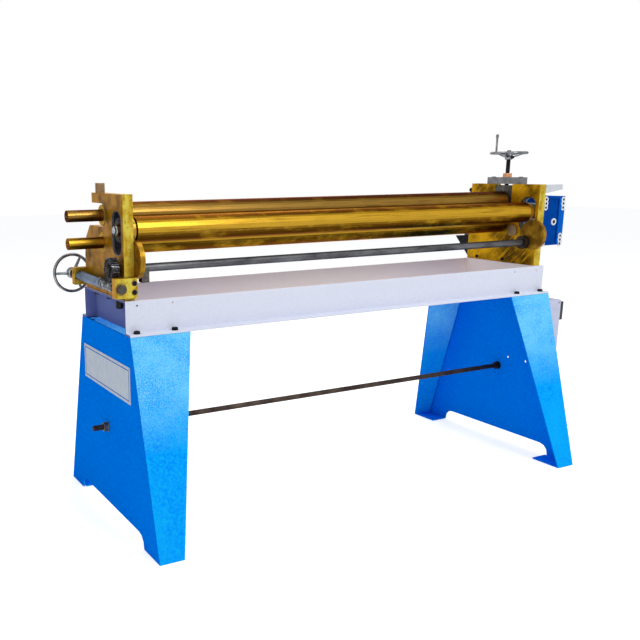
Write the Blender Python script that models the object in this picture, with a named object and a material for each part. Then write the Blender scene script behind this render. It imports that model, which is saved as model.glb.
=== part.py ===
"""Three-roll plate rolling machine on a folded sheet stand, with a worm drive for the bending roll."""

import math

import bmesh
import bpy
from mathutils import Vector

# Every length below is in millimetres
MM = 0.001
SEAT = 0.3
HANDS = (("left", -1), ("right", 1))

# Stand
BED_HALF_LENGTH = 680.0
BED_HALF_WIDTH = 140.0
BED_TOP = 582.0
BED_SHEET = 5.0
PANEL_HEIGHT = 75.0
FLANGE_REACH = 26.0
FLANGE_BOLT_INSET = 13.0
FLANGE_BOLTS_FROM_END = (22.0, 119.0)
FLANGE_BOLT_RADIUS = 4.0
PANEL_HOLES_FROM_END = (29.5, 120.0)
PANEL_HOLE_DROP = 12.0
PANEL_HOLE_RADIUS = 2.5
LEG_SHEET = 4.0
FOOT_HALF_SPREAD = 309.0
FOOT_WIDTH = 63.0
FOOT_LENGTH = 94.0
LEG_FLANGE_TOP_WIDTH = 154.0
LEG_TAB_LENGTH = 40.0
LEG_TAB_END_GAP = 8.0
ARCH_FROM_FOOT_END = 91.0
ARCH_HEIGHT = 34.0
ARCH_CORNER = 30.0
FOOT_HOLE_RADIUS = 6.0
FOOT_HOLE_FROM_END = 45.0
TIE_ROD_Z = 243.0
TIE_ROD_RADIUS = 7.0
TIE_ROD_STUB = 40.0
TIE_ROD_RIGHT_STUB = 20.0
TIE_WASHER_RADIUS = 13.0
TIE_WASHER_THICKNESS = 2.0
TIE_NUT_HALF_WIDTH = 10.5
TIE_NUT_DEPTH = 11.0
PLATE_Y = (-160.0, 157.0)
PLATE_DROP = (161.7, 71.7)
PLATE_THICKNESS = 1.0
WEB_HOLES_Y = (-37.0, -106.0)
WEB_HOLE_Z = 277.0
WEB_HOLE_RADIUS = 4.0

# Roll housing
FRAME_THICKNESS = 25.0
FRAME_END_INSET = 5.0
FRAME_HEIGHT = 240.0
FRAME_FRONT = -128.0
FRAME_REAR = 140.0
FRAME_BOLTS_Y = (-60.0, 2.0, 92.0)
FRAME_BOLT_RADIUS = 5.0
FRAME_BOLT_DEPTH = 18.0
OVERHANG_REAR = 75.0
MOUTH_HALF_HEIGHT = 28.0
JAW_REAR = 96.0
JAW_SLOPE = ((126.0, 7.0), (138.0, -35.0))
KEEPER_THICKNESS = 4.0
KEEPER_RADIUS = 17.5
KEEPER_PLACE = (-49.0, -22.0)

# Rolls
ROLL_RADIUS = 30.0
ROLL_EDGE = 1.5
ROLL_END_GAP = 5.0
BENDING_END_GAP = 15.0
JOURNAL_RADIUS = 14.0
JOURNAL_STUB = 88.0
PINCH_Y = 10.0
LOWER_ROLL_SHARE = 0.5125
ROLL_OPENING = 5.0
BENDING_Y = -88.0
BENDING_RISE = 35.0
BUSH_RADIUS = 25.0
RUNNING = 0.3
ROLL_BOLT_RADIUS = 5.0
ROLL_BOLT_HALF_WIDTH = 8.0
ROLL_BOLT_WASHER = 11.0

# Bending roll lift
SLOT_HALF_WIDTH = 29.0
BLOCK_HALF_HEIGHT = 27.0
SLOT_BELOW = 57.5
SLOT_ABOVE = 44.5
SLOT_CORNER = 24.0
BLOCK_RECESS = 5.0
RING_RADIUS = 28.0
SHAFT_Y = -96.0
SHAFT_SHARE = 0.2875
SHAFT_RADIUS = 10.0
SHAFT_BUSH_RADIUS = 14.0
CAM_OFFSET = 35.0
CAM_REST_ANGLE = 138.5
CAM_WIDTH = 12.0
CAM_FACE_GAP = 0.6
CAM_RING_GAP = 2.5
COLLAR_RADIUS = 19.5
COLLAR_WIDTH = 14.0
STOP_WIDTH = 22.0
STOP_LENGTH = 19.0
STOP_DROP = 34.0
STOP_GAP = 1.0

# Worm drives
WORM_STANDOFF = 17.0
LIFT_CENTRES = 39.0
LIFT_TEETH = 30
LIFT_MODULE = 1.8
LIFT_WHEEL_WIDTH = 19.0
DRIVE_TEETH = 30
DRIVE_MODULE = 2.5
DRIVE_WHEEL_WIDTH = 18.0
TOOTH_SHARE = 0.38
WORM_SHAFT_RADIUS = 8.0
WORM_THREAD_Y = (-123.0, -33.0)
WORM_BLOCK_DEPTH = 20.0
WORM_BLOCK_X = (-14.0, 41.0)
FRONT_BLOCK_Z = (-22.0, 24.0)
REAR_BLOCK_Z = (-24.0, 20.0)
WORM_SHAFT_END = 7.0
SLEEVE_RADIUS = 12.0
SLEEVE_START = -30.0
SIDE_WHEEL_STANDOFF = 60.0
SIDE_WHEEL_RADIUS = 49.0
SIDE_RIM_RADIUS = 3.4
SPOKE_RADIUS = 4.0

# Upper roll adjustment
TOP_SLOT_HALF_WIDTH = 34.0
TOP_SLOT_WALL = 4.7
UPPER_BLOCK_DOWN = 29.0
UPPER_BLOCK_UP = 48.0
UPPER_BLOCK_SIDE_GAP = 0.4
BALL_RADIUS = 22.0
SCREW_RADIUS = 6.0
SCREW_SOCKET_DEPTH = 6.0
CAP_Y = (-68.0, 68.0)
CAP_HEIGHT = 20.0
CAP_SCREW_INSET = 15.0
CAP_SCREW_RADIUS = 4.0
CAP_SCREW_DEPTH = 16.0
NUT_HALF_WIDTH = 12.0
NUT_HEIGHT = 12.0
SCREW_SHOWN = 41.0
HUB_HEIGHT = 18.0
HUB_RADIUS = 11.0
RIM_OVER_HUB = 20.0
TOP_WHEEL_RADIUS = 51.0
TOP_RIM_RADIUS = 4.0
HANDLE_HEIGHT = 58.0
HANDLE_PIN_RADIUS = 2.2
LOCK_BOLT_DROP = 17.0
LOCK_BOLT_RADIUS = 4.0
PIN_Y = 47.0
PIN_SIDE = 18.0
PIN_ABOVE_FRAME = 23.0

# Drive
GEARBOX_STANDOFF = 88.0
GEARBOX_WIDTH = 96.0
GEARBOX_HALF_DEPTH = 60.0
GEARBOX_BELOW = 75.0
GEARBOX_ABOVE = 77.0
GEARBOX_WALL = 8.0
COVER_THICKNESS = 6.0
COVER_RECESS = 3.0
RECESS_SIDES = (24.0, 27.0)
RECESS_ENDS = (6.0, 8.0)
LUG_INSET = 12.0
LUG_SCREW_RADIUS = 3.0
SPACER_RADIUS = 34.0
DRIVE_CENTRES = 50.0
MOTOR_RADIUS = 46.0
MOTOR_LENGTH = 169.7
MOTOR_BORE_RADIUS = 34.0
ROTOR_RADIUS = 26.0
FAN_COVER_DEPTH = 36.0
FAN_REACH = 36.0
TERMINAL_HALF_WIDTH = 30.0
TERMINAL_LENGTH = 70.0
TERMINAL_HEIGHT = 34.0
TERMINAL_FROM_FLANGE = 54.7

# Side plates
GUSSET_THICKNESS = 5.0
GUSSET_SHAPE = ((-40.0, 8.0), (22.0, 1.5), (84.0, 66.0), (27.0, 72.0), (-40.0, 118.0))
GUSSET_HOLES = ((-22.0, 28.0), (-22.0, 78.0))
GUSSET_HOLE_RADIUS = 4.0
BRACKET_LENGTH = 71.0
BRACKET_HEIGHT = 25.0
BRACKET_TIP = 15.0
BRACKET_SHEET = 4.0
BRACKET_FLANGE = 34.0

# Control box
BOX_WIDTH = 116.7
BOX_Y = (-115.0, -20.0)
BOX_Z = (290.0, 466.0)
BOX_WALL = 2.5
BOX_COVER = 5.0
SWITCH_DEPTH = 18.0
SWITCH_WIDTH = 50.0
SWITCH_Z = (400.0, 458.0)
BUTTON_RADIUS = 8.0
BUTTON_PROUD = 5.0
BUTTON_TRAVEL = 3.0
BUTTONS = (("start_button", 443.0, "green"), ("stop_button", 415.0, "red"))

# Levels and reaches that follow from the values above
FLANGE_TOP = BED_TOP - PANEL_HEIGHT
FLANGE_BOLT_Y = BED_HALF_WIDTH + FLANGE_BOLT_INSET
LEG_TOP = FLANGE_TOP - BED_SHEET - SEAT
FRAME_BOTTOM = BED_TOP + SEAT
FRAME_TOP = BED_TOP + FRAME_HEIGHT
FRAME_OUTER = BED_HALF_LENGTH - FRAME_END_INSET
FRAME_INNER = FRAME_OUTER - FRAME_THICKNESS
FRAME_MIDDLE = (FRAME_INNER + FRAME_OUTER) / 2
ROLL_BODY_HALF = FRAME_INNER - ROLL_END_GAP
BENDING_BODY_HALF = FRAME_INNER - BENDING_END_GAP
LOWER_Z = BED_TOP + LOWER_ROLL_SHARE * FRAME_HEIGHT
UPPER_Z = LOWER_Z + 2 * ROLL_RADIUS + ROLL_OPENING
BENDING_Z = LOWER_Z + BENDING_RISE
SHAFT_Z = BED_TOP + SHAFT_SHARE * FRAME_HEIGHT
WORM_X = -FRAME_OUTER - WORM_STANDOFF
WORM_Z = SHAFT_Z - LIFT_CENTRES
TOP_SLOT_BOTTOM = LOWER_Z + BUSH_RADIUS + SEAT + TOP_SLOT_WALL
UPPER_BLOCK_Z = (UPPER_Z - UPPER_BLOCK_DOWN, UPPER_Z + UPPER_BLOCK_UP)
CAP_TOP = FRAME_TOP + SEAT + CAP_HEIGHT
HUB_BOTTOM = CAP_TOP + NUT_HEIGHT + SCREW_SHOWN - SEAT
TOP_RIM_Z = HUB_BOTTOM + RIM_OVER_HUB
HANDLE_TOP = TOP_RIM_Z + HANDLE_HEIGHT
SIDE_WHEEL_Y = FRAME_REAR + SIDE_WHEEL_STANDOFF
LEFT_REACH = FRAME_OUTER + JOURNAL_STUB
GEARBOX_X = (FRAME_OUTER + GEARBOX_STANDOFF, FRAME_OUTER + GEARBOX_STANDOFF + GEARBOX_WIDTH)
GEARBOX_Y = (PINCH_Y - GEARBOX_HALF_DEPTH, PINCH_Y + GEARBOX_HALF_DEPTH)
GEARBOX_Z = (LOWER_Z - GEARBOX_BELOW, LOWER_Z + GEARBOX_ABOVE)
GEARBOX_MIDDLE = GEARBOX_X[0] + GEARBOX_WIDTH / 2
RIGHT_REACH = GEARBOX_X[1]
DRIVE_WORM_Z = LOWER_Z - DRIVE_CENTRES
MOTOR_Y = (GEARBOX_Y[1] + SEAT, GEARBOX_Y[1] + SEAT + MOTOR_LENGTH)
BOX_X = (BED_HALF_LENGTH + SEAT, BED_HALF_LENGTH + SEAT + BOX_WIDTH)


def clear_scene():
    for item in list(bpy.data.objects):
        bpy.data.objects.remove(item, do_unlink=True)


def finish_material(name, colour, metallic, roughness):
    material = bpy.data.materials.new(name)
    material.use_nodes = True
    shader = material.node_tree.nodes["Principled BSDF"]
    shader.inputs["Base Color"].default_value = (*colour, 1.0)
    shader.inputs["Metallic"].default_value = metallic
    shader.inputs["Roughness"].default_value = roughness
    return material


# Mesh pieces: every function returns (points, faces) in millimetres
def along(axis, position, across, up):
    if axis == "x":
        return (position, across, up)
    if axis == "y":
        return (across, position, up)
    return (across, up, position)


def prism(outline, axis, low, high):
    count = len(outline)
    points = [along(axis, low, a, b) for a, b in outline]
    points += [along(axis, high, a, b) for a, b in outline]
    faces = [tuple(range(count)), tuple(range(2 * count - 1, count - 1, -1))]
    for index in range(count):
        after = (index + 1) % count
        faces.append((index, after, count + after, count + index))
    return points, faces


def block(x, y, z):
    outline = [(x[0], y[0]), (x[1], y[0]), (x[1], y[1]), (x[0], y[1])]
    return prism(outline, "z", z[0], z[1])


def ring_radius(radius, sides, angle):
    """Radius at an angle of a circle, or of a regular polygon given by its inner radius."""
    if sides == 0:
        return radius
    sector = 2 * math.pi / sides
    return radius / math.cos((angle + sector / 2) % sector - sector / 2)


def turned(rings, axis, centre, steps=24, closed=False):
    """Rings are (position, radius) or (position, inner radius, sides) about an axis through centre."""
    points = []
    for ring in rings:
        sides = ring[2] if len(ring) > 2 else 0
        for step in range(steps):
            angle = 2 * math.pi * step / steps
            radius = ring_radius(ring[1], sides, angle)
            across = centre[0] + radius * math.cos(angle)
            up = centre[1] + radius * math.sin(angle)
            points.append(along(axis, ring[0], across, up))
    faces = []
    last = len(rings) if closed else len(rings) - 1
    for row in range(last):
        here = row * steps
        there = ((row + 1) % len(rings)) * steps
        for step in range(steps):
            after = (step + 1) % steps
            faces.append((here + step, here + after, there + after, there + step))
    if not closed:
        faces.append(tuple(range(steps)))
        faces.append(tuple(range(len(points) - 1, len(points) - steps - 1, -1)))
    return points, faces


def tube(low, high, outer, inner, axis, centre, steps=24):
    rings = [(low, outer), (high, outer), (high, inner), (low, inner)]
    return turned(rings, axis, centre, steps, closed=True)


def drum(low, high, radius, axis, centre, steps=24):
    return turned([(low, radius), (high, radius)], axis, centre, steps)


def hex_nut(low, high, half_width, bore, axis, centre):
    rings = [(low, half_width, 6), (high, half_width, 6), (high, bore), (low, bore)]
    return turned(rings, axis, centre, 12, closed=True)


def hex_bolt(seat, way, head, half_width, shank, length, axis, centre):
    """Head stands on the seat towards way, the shank runs the other way."""
    rings = [
        (seat + way * head, half_width * 0.94),
        (seat + way * head * 0.85, half_width, 6),
        (seat, half_width, 6),
        (seat, shank),
        (seat - way * length, shank),
    ]
    return turned(rings, axis, centre, 12)


def rod(start, end, radius, steps=12):
    start = Vector(start)
    end = Vector(end)
    way = (end - start).normalized()
    side = way.orthogonal().normalized()
    other = way.cross(side)
    points = []
    for base in (start, end):
        for step in range(steps):
            angle = 2 * math.pi * step / steps
            points.append(tuple(base + radius * (math.cos(angle) * side + math.sin(angle) * other)))
    faces = [tuple(range(steps)), tuple(range(2 * steps - 1, steps - 1, -1))]
    for step in range(steps):
        after = (step + 1) % steps
        faces.append((step, after, steps + after, steps + step))
    return points, faces


def join(solids):
    points = []
    faces = []
    for solid in solids:
        shift = len(points)
        points.extend(solid[0])
        faces.extend(tuple(index + shift for index in face) for face in solid[1])
    return points, faces


def make_object(name, solids, at):
    points, faces = join(solids)
    mesh = bpy.data.meshes.new(name)
    local = [((p[0] - at[0]) * MM, (p[1] - at[1]) * MM, (p[2] - at[2]) * MM) for p in points]
    mesh.from_pydata(local, [], faces)
    work = bmesh.new()
    work.from_mesh(mesh)
    bmesh.ops.recalc_face_normals(work, faces=work.faces)
    work.to_mesh(mesh)
    work.free()
    item = bpy.data.objects.new(name, mesh)
    item.location = Vector(at) * MM
    item.parent = bpy.data.objects["machine"]
    bpy.context.collection.objects.link(item)
    return item


def combine(item, solids, operation, label):
    tool = make_object(item.name + "_" + label, solids, item["at"])
    tool.hide_render = True
    tool.display_type = "WIRE"
    step = item.modifiers.new(label, "BOOLEAN")
    step.operation = operation
    step.solver = "EXACT"
    step.object = tool


def node(name, solids, material, at=(0.0, 0.0, 0.0), cuts=(), joins=(), smooth=True):
    """One named piece: joins are lists of solids fused on, cuts are lists of solids taken out."""
    item = make_object(name, solids, at)
    item["at"] = at
    item.data.materials.append(material)
    if smooth:
        item.data.shade_smooth()
        item.data.set_sharp_from_angle(angle=math.radians(32))
    for index, group in enumerate(joins):
        combine(item, group, "UNION", "join%d" % index)
    for index, group in enumerate(cuts):
        combine(item, group, "DIFFERENCE", "cut%d" % index)
    return item


def worm(before, thread, pitch, tip, root, after, axis, centre, phase, steps=10):
    """Shaft with one left or right hand thread, turned rings before and after it."""
    points, faces = [], []

    def add_ring(position, radius):
        first = len(points)
        for step in range(steps):
            angle = 2 * math.pi * step / steps
            across = centre[0] + radius * math.sin(angle)
            points.append(along(axis, position, across, centre[1] + radius * math.cos(angle)))
        return first

    def bridge(here, there):
        for step in range(steps):
            after_step = (step + 1) % steps
            faces.append((here + step, here + after_step, there + after_step, there + step))

    plain = [add_ring(*ring) for ring in before + [(thread[0], root - 0.6)]]
    for here, there in zip(plain, plain[1:]):
        bridge(here, there)
    faces.append(tuple(range(plain[0], plain[0] + steps)))
    half_root = (1 - TOOTH_SHARE) / 2
    flank = 0.09
    stops = [(0.0, root), (half_root - flank, root), (half_root + flank, tip),
             (1 - half_root - flank, tip), (1 - half_root + flank, root)]
    first_turn = math.ceil((thread[0] - phase) / pitch)
    turns = int((thread[1] - phase) / pitch) - first_turn - 1
    rows = []
    for row in range(turns * len(stops) + 1):
        share, radius = stops[row % len(stops)]
        start = phase + (first_turn + row // len(stops) + share) * pitch
        rows.append(len(points))
        for step in range(steps):
            angle = 2 * math.pi * step / steps
            across = centre[0] + radius * math.sin(angle)
            position = start + pitch * step / steps
            points.append(along(axis, position, across, centre[1] + radius * math.cos(angle)))
    seam = len(stops)
    extra = []
    for row in range(seam):
        share, radius = stops[(turns * len(stops) + 1 + row) % len(stops)]
        whole = (turns * len(stops) + 1 + row) // len(stops)
        extra.append(len(points))
        points.append(along(axis, phase + (first_turn + whole + share) * pitch,
                            centre[0], centre[1] + radius))
    heads = rows + extra
    for row in range(len(rows) - 1):
        for step in range(steps):
            if step < steps - 1:
                faces.append((rows[row] + step, rows[row] + step + 1,
                              rows[row + 1] + step + 1, rows[row + 1] + step))
            else:
                faces.append((rows[row] + step, heads[row + seam],
                              heads[row + 1 + seam], rows[row + 1] + step))
    base = plain[-1]
    for step in range(steps - 1):
        faces.append((base + step, base + step + 1, rows[0] + step + 1, rows[0] + step))
    faces.append((base + steps - 1, base, heads[seam], rows[0] + steps - 1))
    faces.append((base, *[heads[row] for row in range(seam + 1)]))
    tail = [add_ring(*ring) for ring in [(thread[1], root - 0.6)] + after]
    for here, there in zip(tail, tail[1:]):
        bridge(here, there)
    faces.append(tuple(range(tail[-1], tail[-1] + steps)))
    final = rows[-1]
    for step in range(steps - 1):
        faces.append((final + step, final + step + 1, tail[0] + step + 1, tail[0] + step))
    end_head = heads[len(rows) - 1 + seam]
    faces.append((final + steps - 1, end_head, tail[0], tail[0] + steps - 1))
    faces.append((tail[0], *[heads[row] for row in range(len(rows) - 1, len(rows) + seam)]))
    return points, faces


def worm_wheel(teeth, module, low, high, bore, centre, worm_radius):
    """Toothed wheel about X with its teeth slanted to the worm, one tooth pointing straight down."""
    pitch_radius = teeth * module / 2
    tip = pitch_radius + 0.8 * module
    root = pitch_radius - 1.05 * module
    slant = (high - low) * module / (2 * worm_radius * pitch_radius)
    sector = 2 * math.pi / teeth
    widths = ((-0.30, root), (-0.12, tip), (0.12, tip), (0.30, root))
    points = []
    for position, turn, inner in ((low, -slant / 2, False), (high, slant / 2, False),
                                  (high, slant / 2, True), (low, -slant / 2, True)):
        for tooth in range(teeth):
            for share, radius in widths:
                angle = -math.pi / 2 + sector * (tooth + share) + turn
                radius = bore if inner else radius
                points.append((position, centre[0] + radius * math.cos(angle),
                               centre[1] + radius * math.sin(angle)))
    count = 4 * teeth
    faces = []
    for row in range(4):
        here, there = row * count, ((row + 1) % 4) * count
        for step in range(count):
            after = (step + 1) % count
            faces.append((here + step, here + after, there + after, there + step))
    return points, faces


def make_materials():
    return {
        "gold": finish_material("passivated steel", (0.62, 0.45, 0.20), 0.85, 0.34),
        "roll": finish_material("ground roll steel", (0.60, 0.44, 0.22), 0.9, 0.26),
        "blue": finish_material("azure stand paint", (0.01, 0.25, 0.90), 0.0, 0.35),
        "bed": finish_material("pale bed paint", (0.70, 0.74, 0.88), 0.0, 0.4),
        "black": finish_material("blackened steel", (0.02, 0.02, 0.022), 0.5, 0.45),
        "brown": finish_material("browned rod steel", (0.07, 0.05, 0.04), 0.6, 0.45),
        "steel": finish_material("turned steel", (0.45, 0.48, 0.52), 0.95, 0.25),
        "dark": finish_material("dark machined steel", (0.12, 0.12, 0.13), 0.8, 0.4),
        "chrome": finish_material("chrome plate", (0.85, 0.86, 0.88), 1.0, 0.08),
        "zinc": finish_material("bright zinc plate", (0.7, 0.72, 0.74), 0.9, 0.3),
        "copper": finish_material("copper nut", (0.72, 0.35, 0.20), 0.9, 0.3),
        "bronze": finish_material("bush bronze", (0.55, 0.36, 0.14), 0.85, 0.35),
        "gearbox": finish_material("gearbox blue enamel", (0.03, 0.12, 0.45), 0.0, 0.35),
        "box": finish_material("pale control box paint", (0.72, 0.72, 0.84), 0.0, 0.4),
        "plastic": finish_material("dark grey plastic", (0.06, 0.06, 0.07), 0.0, 0.5),
        "green": finish_material("green button", (0.02, 0.35, 0.06), 0.0, 0.35),
        "red": finish_material("red button", (0.55, 0.02, 0.02), 0.0, 0.35),
        "plate": finish_material("bare name plate", (0.86, 0.88, 0.92), 0.2, 0.35),
    }


def build_bed(paint):
    low, up = FLANGE_TOP - BED_SHEET, FLANGE_TOP
    reach, side, inner = BED_HALF_WIDTH + FLANGE_REACH, BED_HALF_WIDTH, BED_HALF_WIDTH - BED_SHEET
    under = BED_TOP - BED_SHEET
    outline = [(-reach, low), (-reach, up), (-side, up), (-side, BED_TOP), (side, BED_TOP), (side, up),
               (reach, up), (reach, low), (inner, low), (inner, under), (-inner, under), (-inner, low)]
    cuts = []
    for side_x in (-1, 1):
        for from_end in FLANGE_BOLTS_FROM_END:
            for y in (-FLANGE_BOLT_Y, FLANGE_BOLT_Y):
                x = side_x * (BED_HALF_LENGTH - from_end)
                cuts.append(drum(low - 2, up + 2, FLANGE_BOLT_RADIUS + SEAT, "z", (x, y), 8))
        for from_end in PANEL_HOLES_FROM_END:
            x = side_x * (BED_HALF_LENGTH - from_end)
            centre = (x, BED_TOP - PANEL_HOLE_DROP)
            cuts.append(drum(-side - 2, -inner + 2, PANEL_HOLE_RADIUS, "y", centre, 8))
        for y in FRAME_BOLTS_Y:
            centre = (side_x * FRAME_MIDDLE, y)
            cuts.append(drum(under - 2, BED_TOP + 2, FRAME_BOLT_RADIUS + SEAT, "z", centre, 8))
    tray = FRAME_INNER - BED_SHEET
    webs = []
    for side_x in (-1, 1):
        ends = sorted((side_x * (tray - 5), side_x * FRAME_INNER))
        webs.append(block(ends, (-inner - 1, inner + 1), (low, under + 1)))
    opening = block((-tray, tray), (-inner, inner), (low - 2, BED_TOP + 2))
    node("bed", [prism(outline, "x", -BED_HALF_LENGTH, BED_HALF_LENGTH)], paint["bed"], joins=[webs],
         cuts=[cuts, [opening]])


def leg_surface(side):
    """Outer surface of one folded leg: web, two flanges, two feet and two tabs."""
    points = []
    faces = []

    def corner(x, y, z):
        points.append((side * x, y, z))
        return len(points) - 1

    top_y = BED_HALF_WIDTH + FLANGE_REACH
    web_x = BED_HALF_LENGTH
    tab_x = web_x - LEG_TAB_END_GAP
    web = {}
    for way in (-1, 1):
        high = corner(web_x, way * top_y, LEG_TOP)
        low = corner(web_x, way * FOOT_HALF_SPREAD, 0)
        high_tab = corner(tab_x, way * top_y, LEG_TOP)
        low_tab = corner(tab_x, way * FOOT_HALF_SPREAD, 0)
        high_in = corner(web_x - LEG_FLANGE_TOP_WIDTH, way * top_y, LEG_TOP)
        low_in = corner(web_x - FOOT_WIDTH, way * FOOT_HALF_SPREAD, 0)
        faces.append((high, high_tab, high_in, low_in, low_tab, low))
        tab_y = way * (top_y - LEG_TAB_LENGTH)
        faces.append((high_tab, high_in, corner(web_x - LEG_FLANGE_TOP_WIDTH, tab_y, LEG_TOP),
                      corner(tab_x, tab_y, LEG_TOP)))
        foot_y = way * (FOOT_HALF_SPREAD - FOOT_LENGTH)
        faces.append((low_tab, low_in, corner(web_x - FOOT_WIDTH, foot_y, 0), corner(tab_x, foot_y, 0)))
        arch = []
        for angle in (0, 30, 60, 90):
            turn = math.radians(angle)
            y = FOOT_HALF_SPREAD - ARCH_FROM_FOOT_END - ARCH_CORNER * (1 - math.cos(turn))
            z = ARCH_HEIGHT - ARCH_CORNER * (1 - math.sin(turn))
            arch.append(corner(web_x, way * y, 0 if angle == 0 else z))
        web[way] = (high, low, arch)
    faces.append((web[-1][0], web[-1][1], *web[-1][2], *reversed(web[1][2]), web[1][1], web[1][0]))
    return points, faces


def build_leg(name, side, paint):
    cuts = []
    low, high = LEG_TOP - LEG_SHEET - 2, LEG_TOP + 2
    for y in (-FLANGE_BOLT_Y, FLANGE_BOLT_Y):
        for from_end in FLANGE_BOLTS_FROM_END:
            x = side * (BED_HALF_LENGTH - from_end)
            cuts.append(drum(low, high, FLANGE_BOLT_RADIUS + SEAT, "z", (x, y), 8))
        foot_y = math.copysign(FOOT_HALF_SPREAD - FOOT_HOLE_FROM_END, y)
        foot_x = side * (BED_HALF_LENGTH - FOOT_WIDTH / 2)
        cuts.append(drum(-2, LEG_SHEET + 2, FOOT_HOLE_RADIUS, "z", (foot_x, foot_y), 10))
    ends = sorted((side * (BED_HALF_LENGTH - LEG_SHEET - 2), side * (BED_HALF_LENGTH + 2)))
    cuts.append(drum(ends[0], ends[1], TIE_ROD_RADIUS + SEAT, "x", (0, TIE_ROD_Z), 16))
    if side > 0:
        for y in WEB_HOLES_Y:
            cuts.append(drum(ends[0], ends[1], WEB_HOLE_RADIUS, "x", (y, WEB_HOLE_Z), 12))
    leg = node(name, [leg_surface(side)], paint["blue"], smooth=False)
    fold = leg.modifiers.new("sheet", "SOLIDIFY")
    fold.thickness = LEG_SHEET * MM
    fold.offset = -1
    fold.use_even_offset = True
    width = BED_HALF_LENGTH + 5
    floor = block((-width, width), (-FOOT_HALF_SPREAD - 5, FOOT_HALF_SPREAD + 5), (-20, 0))
    combine(leg, [floor], "DIFFERENCE", "floor")
    combine(leg, cuts, "DIFFERENCE", "holes")


def build_stand(paint):
    build_bed(paint)
    build_leg("left_leg", -1, paint)
    build_leg("right_leg", 1, paint)
    end = BED_HALF_LENGTH + TIE_ROD_STUB
    right_end = BED_HALF_LENGTH + TIE_ROD_RIGHT_STUB
    tie = [(-end, TIE_ROD_RADIUS - 1), (-end + 1.5, TIE_ROD_RADIUS), (right_end - 1.5, TIE_ROD_RADIUS),
           (right_end, TIE_ROD_RADIUS - 1)]
    node("tie_rod", [turned(tie, "x", (0, TIE_ROD_Z), 16)], paint["brown"])
    bore = TIE_ROD_RADIUS + SEAT
    for hand, side in HANDS:
        for place, way, face in (("outer", 1, BED_HALF_LENGTH + SEAT),
                                 ("inner", -1, BED_HALF_LENGTH - LEG_SHEET - SEAT)):
            washer = side * (face + way * TIE_WASHER_THICKNESS)
            far = side * (face + way * (TIE_WASHER_THICKNESS + TIE_NUT_DEPTH))
            rings = [(side * face, TIE_WASHER_RADIUS), (washer, TIE_WASHER_RADIUS),
                     (washer, TIE_NUT_HALF_WIDTH, 6), (far, TIE_NUT_HALF_WIDTH, 6),
                     (far, bore), (side * face, bore)]
            nut = turned(rings, "x", (0, TIE_ROD_Z), 12, closed=True)
            node("%s_tie_rod_%s_nut" % (hand, place), [nut], paint["black"])
    face = -BED_HALF_LENGTH - SEAT
    plate_z = (LEG_TOP - PLATE_DROP[0], LEG_TOP - PLATE_DROP[1])
    node("name_plate", [block((face - PLATE_THICKNESS, face), PLATE_Y, plate_z)], paint["plate"])


def arc(centre, radius, start, end, steps):
    turns = [math.radians(start + (end - start) * step / steps) for step in range(steps + 1)]
    return [(centre[0] + radius * math.cos(turn), centre[1] + radius * math.sin(turn)) for turn in turns]


def rounded_outline(y, z, radius):
    """Corner arcs of a rounded rectangle, seen along x."""
    outline = arc((y[1] - radius, z[1] - radius), radius, 0, 90, 5)
    outline += arc((y[0] + radius, z[1] - radius), radius, 90, 180, 5)
    outline += arc((y[0] + radius, z[0] + radius), radius, 180, 270, 5)
    return outline + arc((y[1] - radius, z[0] + radius), radius, 270, 360, 5)


def frame_cuts(side):
    low, high = sorted((side * (FRAME_INNER - 2), side * (FRAME_OUTER + 2)))
    cuts = [drum(low, high, BUSH_RADIUS + SEAT, "x", (PINCH_Y, LOWER_Z), 32)]
    cuts.append(drum(low, high, SHAFT_BUSH_RADIUS + SEAT, "x", (SHAFT_Y, SHAFT_Z), 24))
    slot_y = (BENDING_Y - SLOT_HALF_WIDTH, BENDING_Y + SLOT_HALF_WIDTH)
    slot_z = (BENDING_Z - SLOT_BELOW, BENDING_Z + SLOT_ABOVE)
    cuts.append(prism(rounded_outline(slot_y, slot_z, SLOT_CORNER), "x", low, high))
    for y in FRAME_BOLTS_Y:
        centre = (side * FRAME_MIDDLE, y)
        depth = FRAME_BOTTOM + FRAME_BOLT_DEPTH
        cuts.append(drum(FRAME_BOTTOM - 2, depth, FRAME_BOLT_RADIUS + SEAT, "z", centre, 8))
    return cuts


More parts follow.
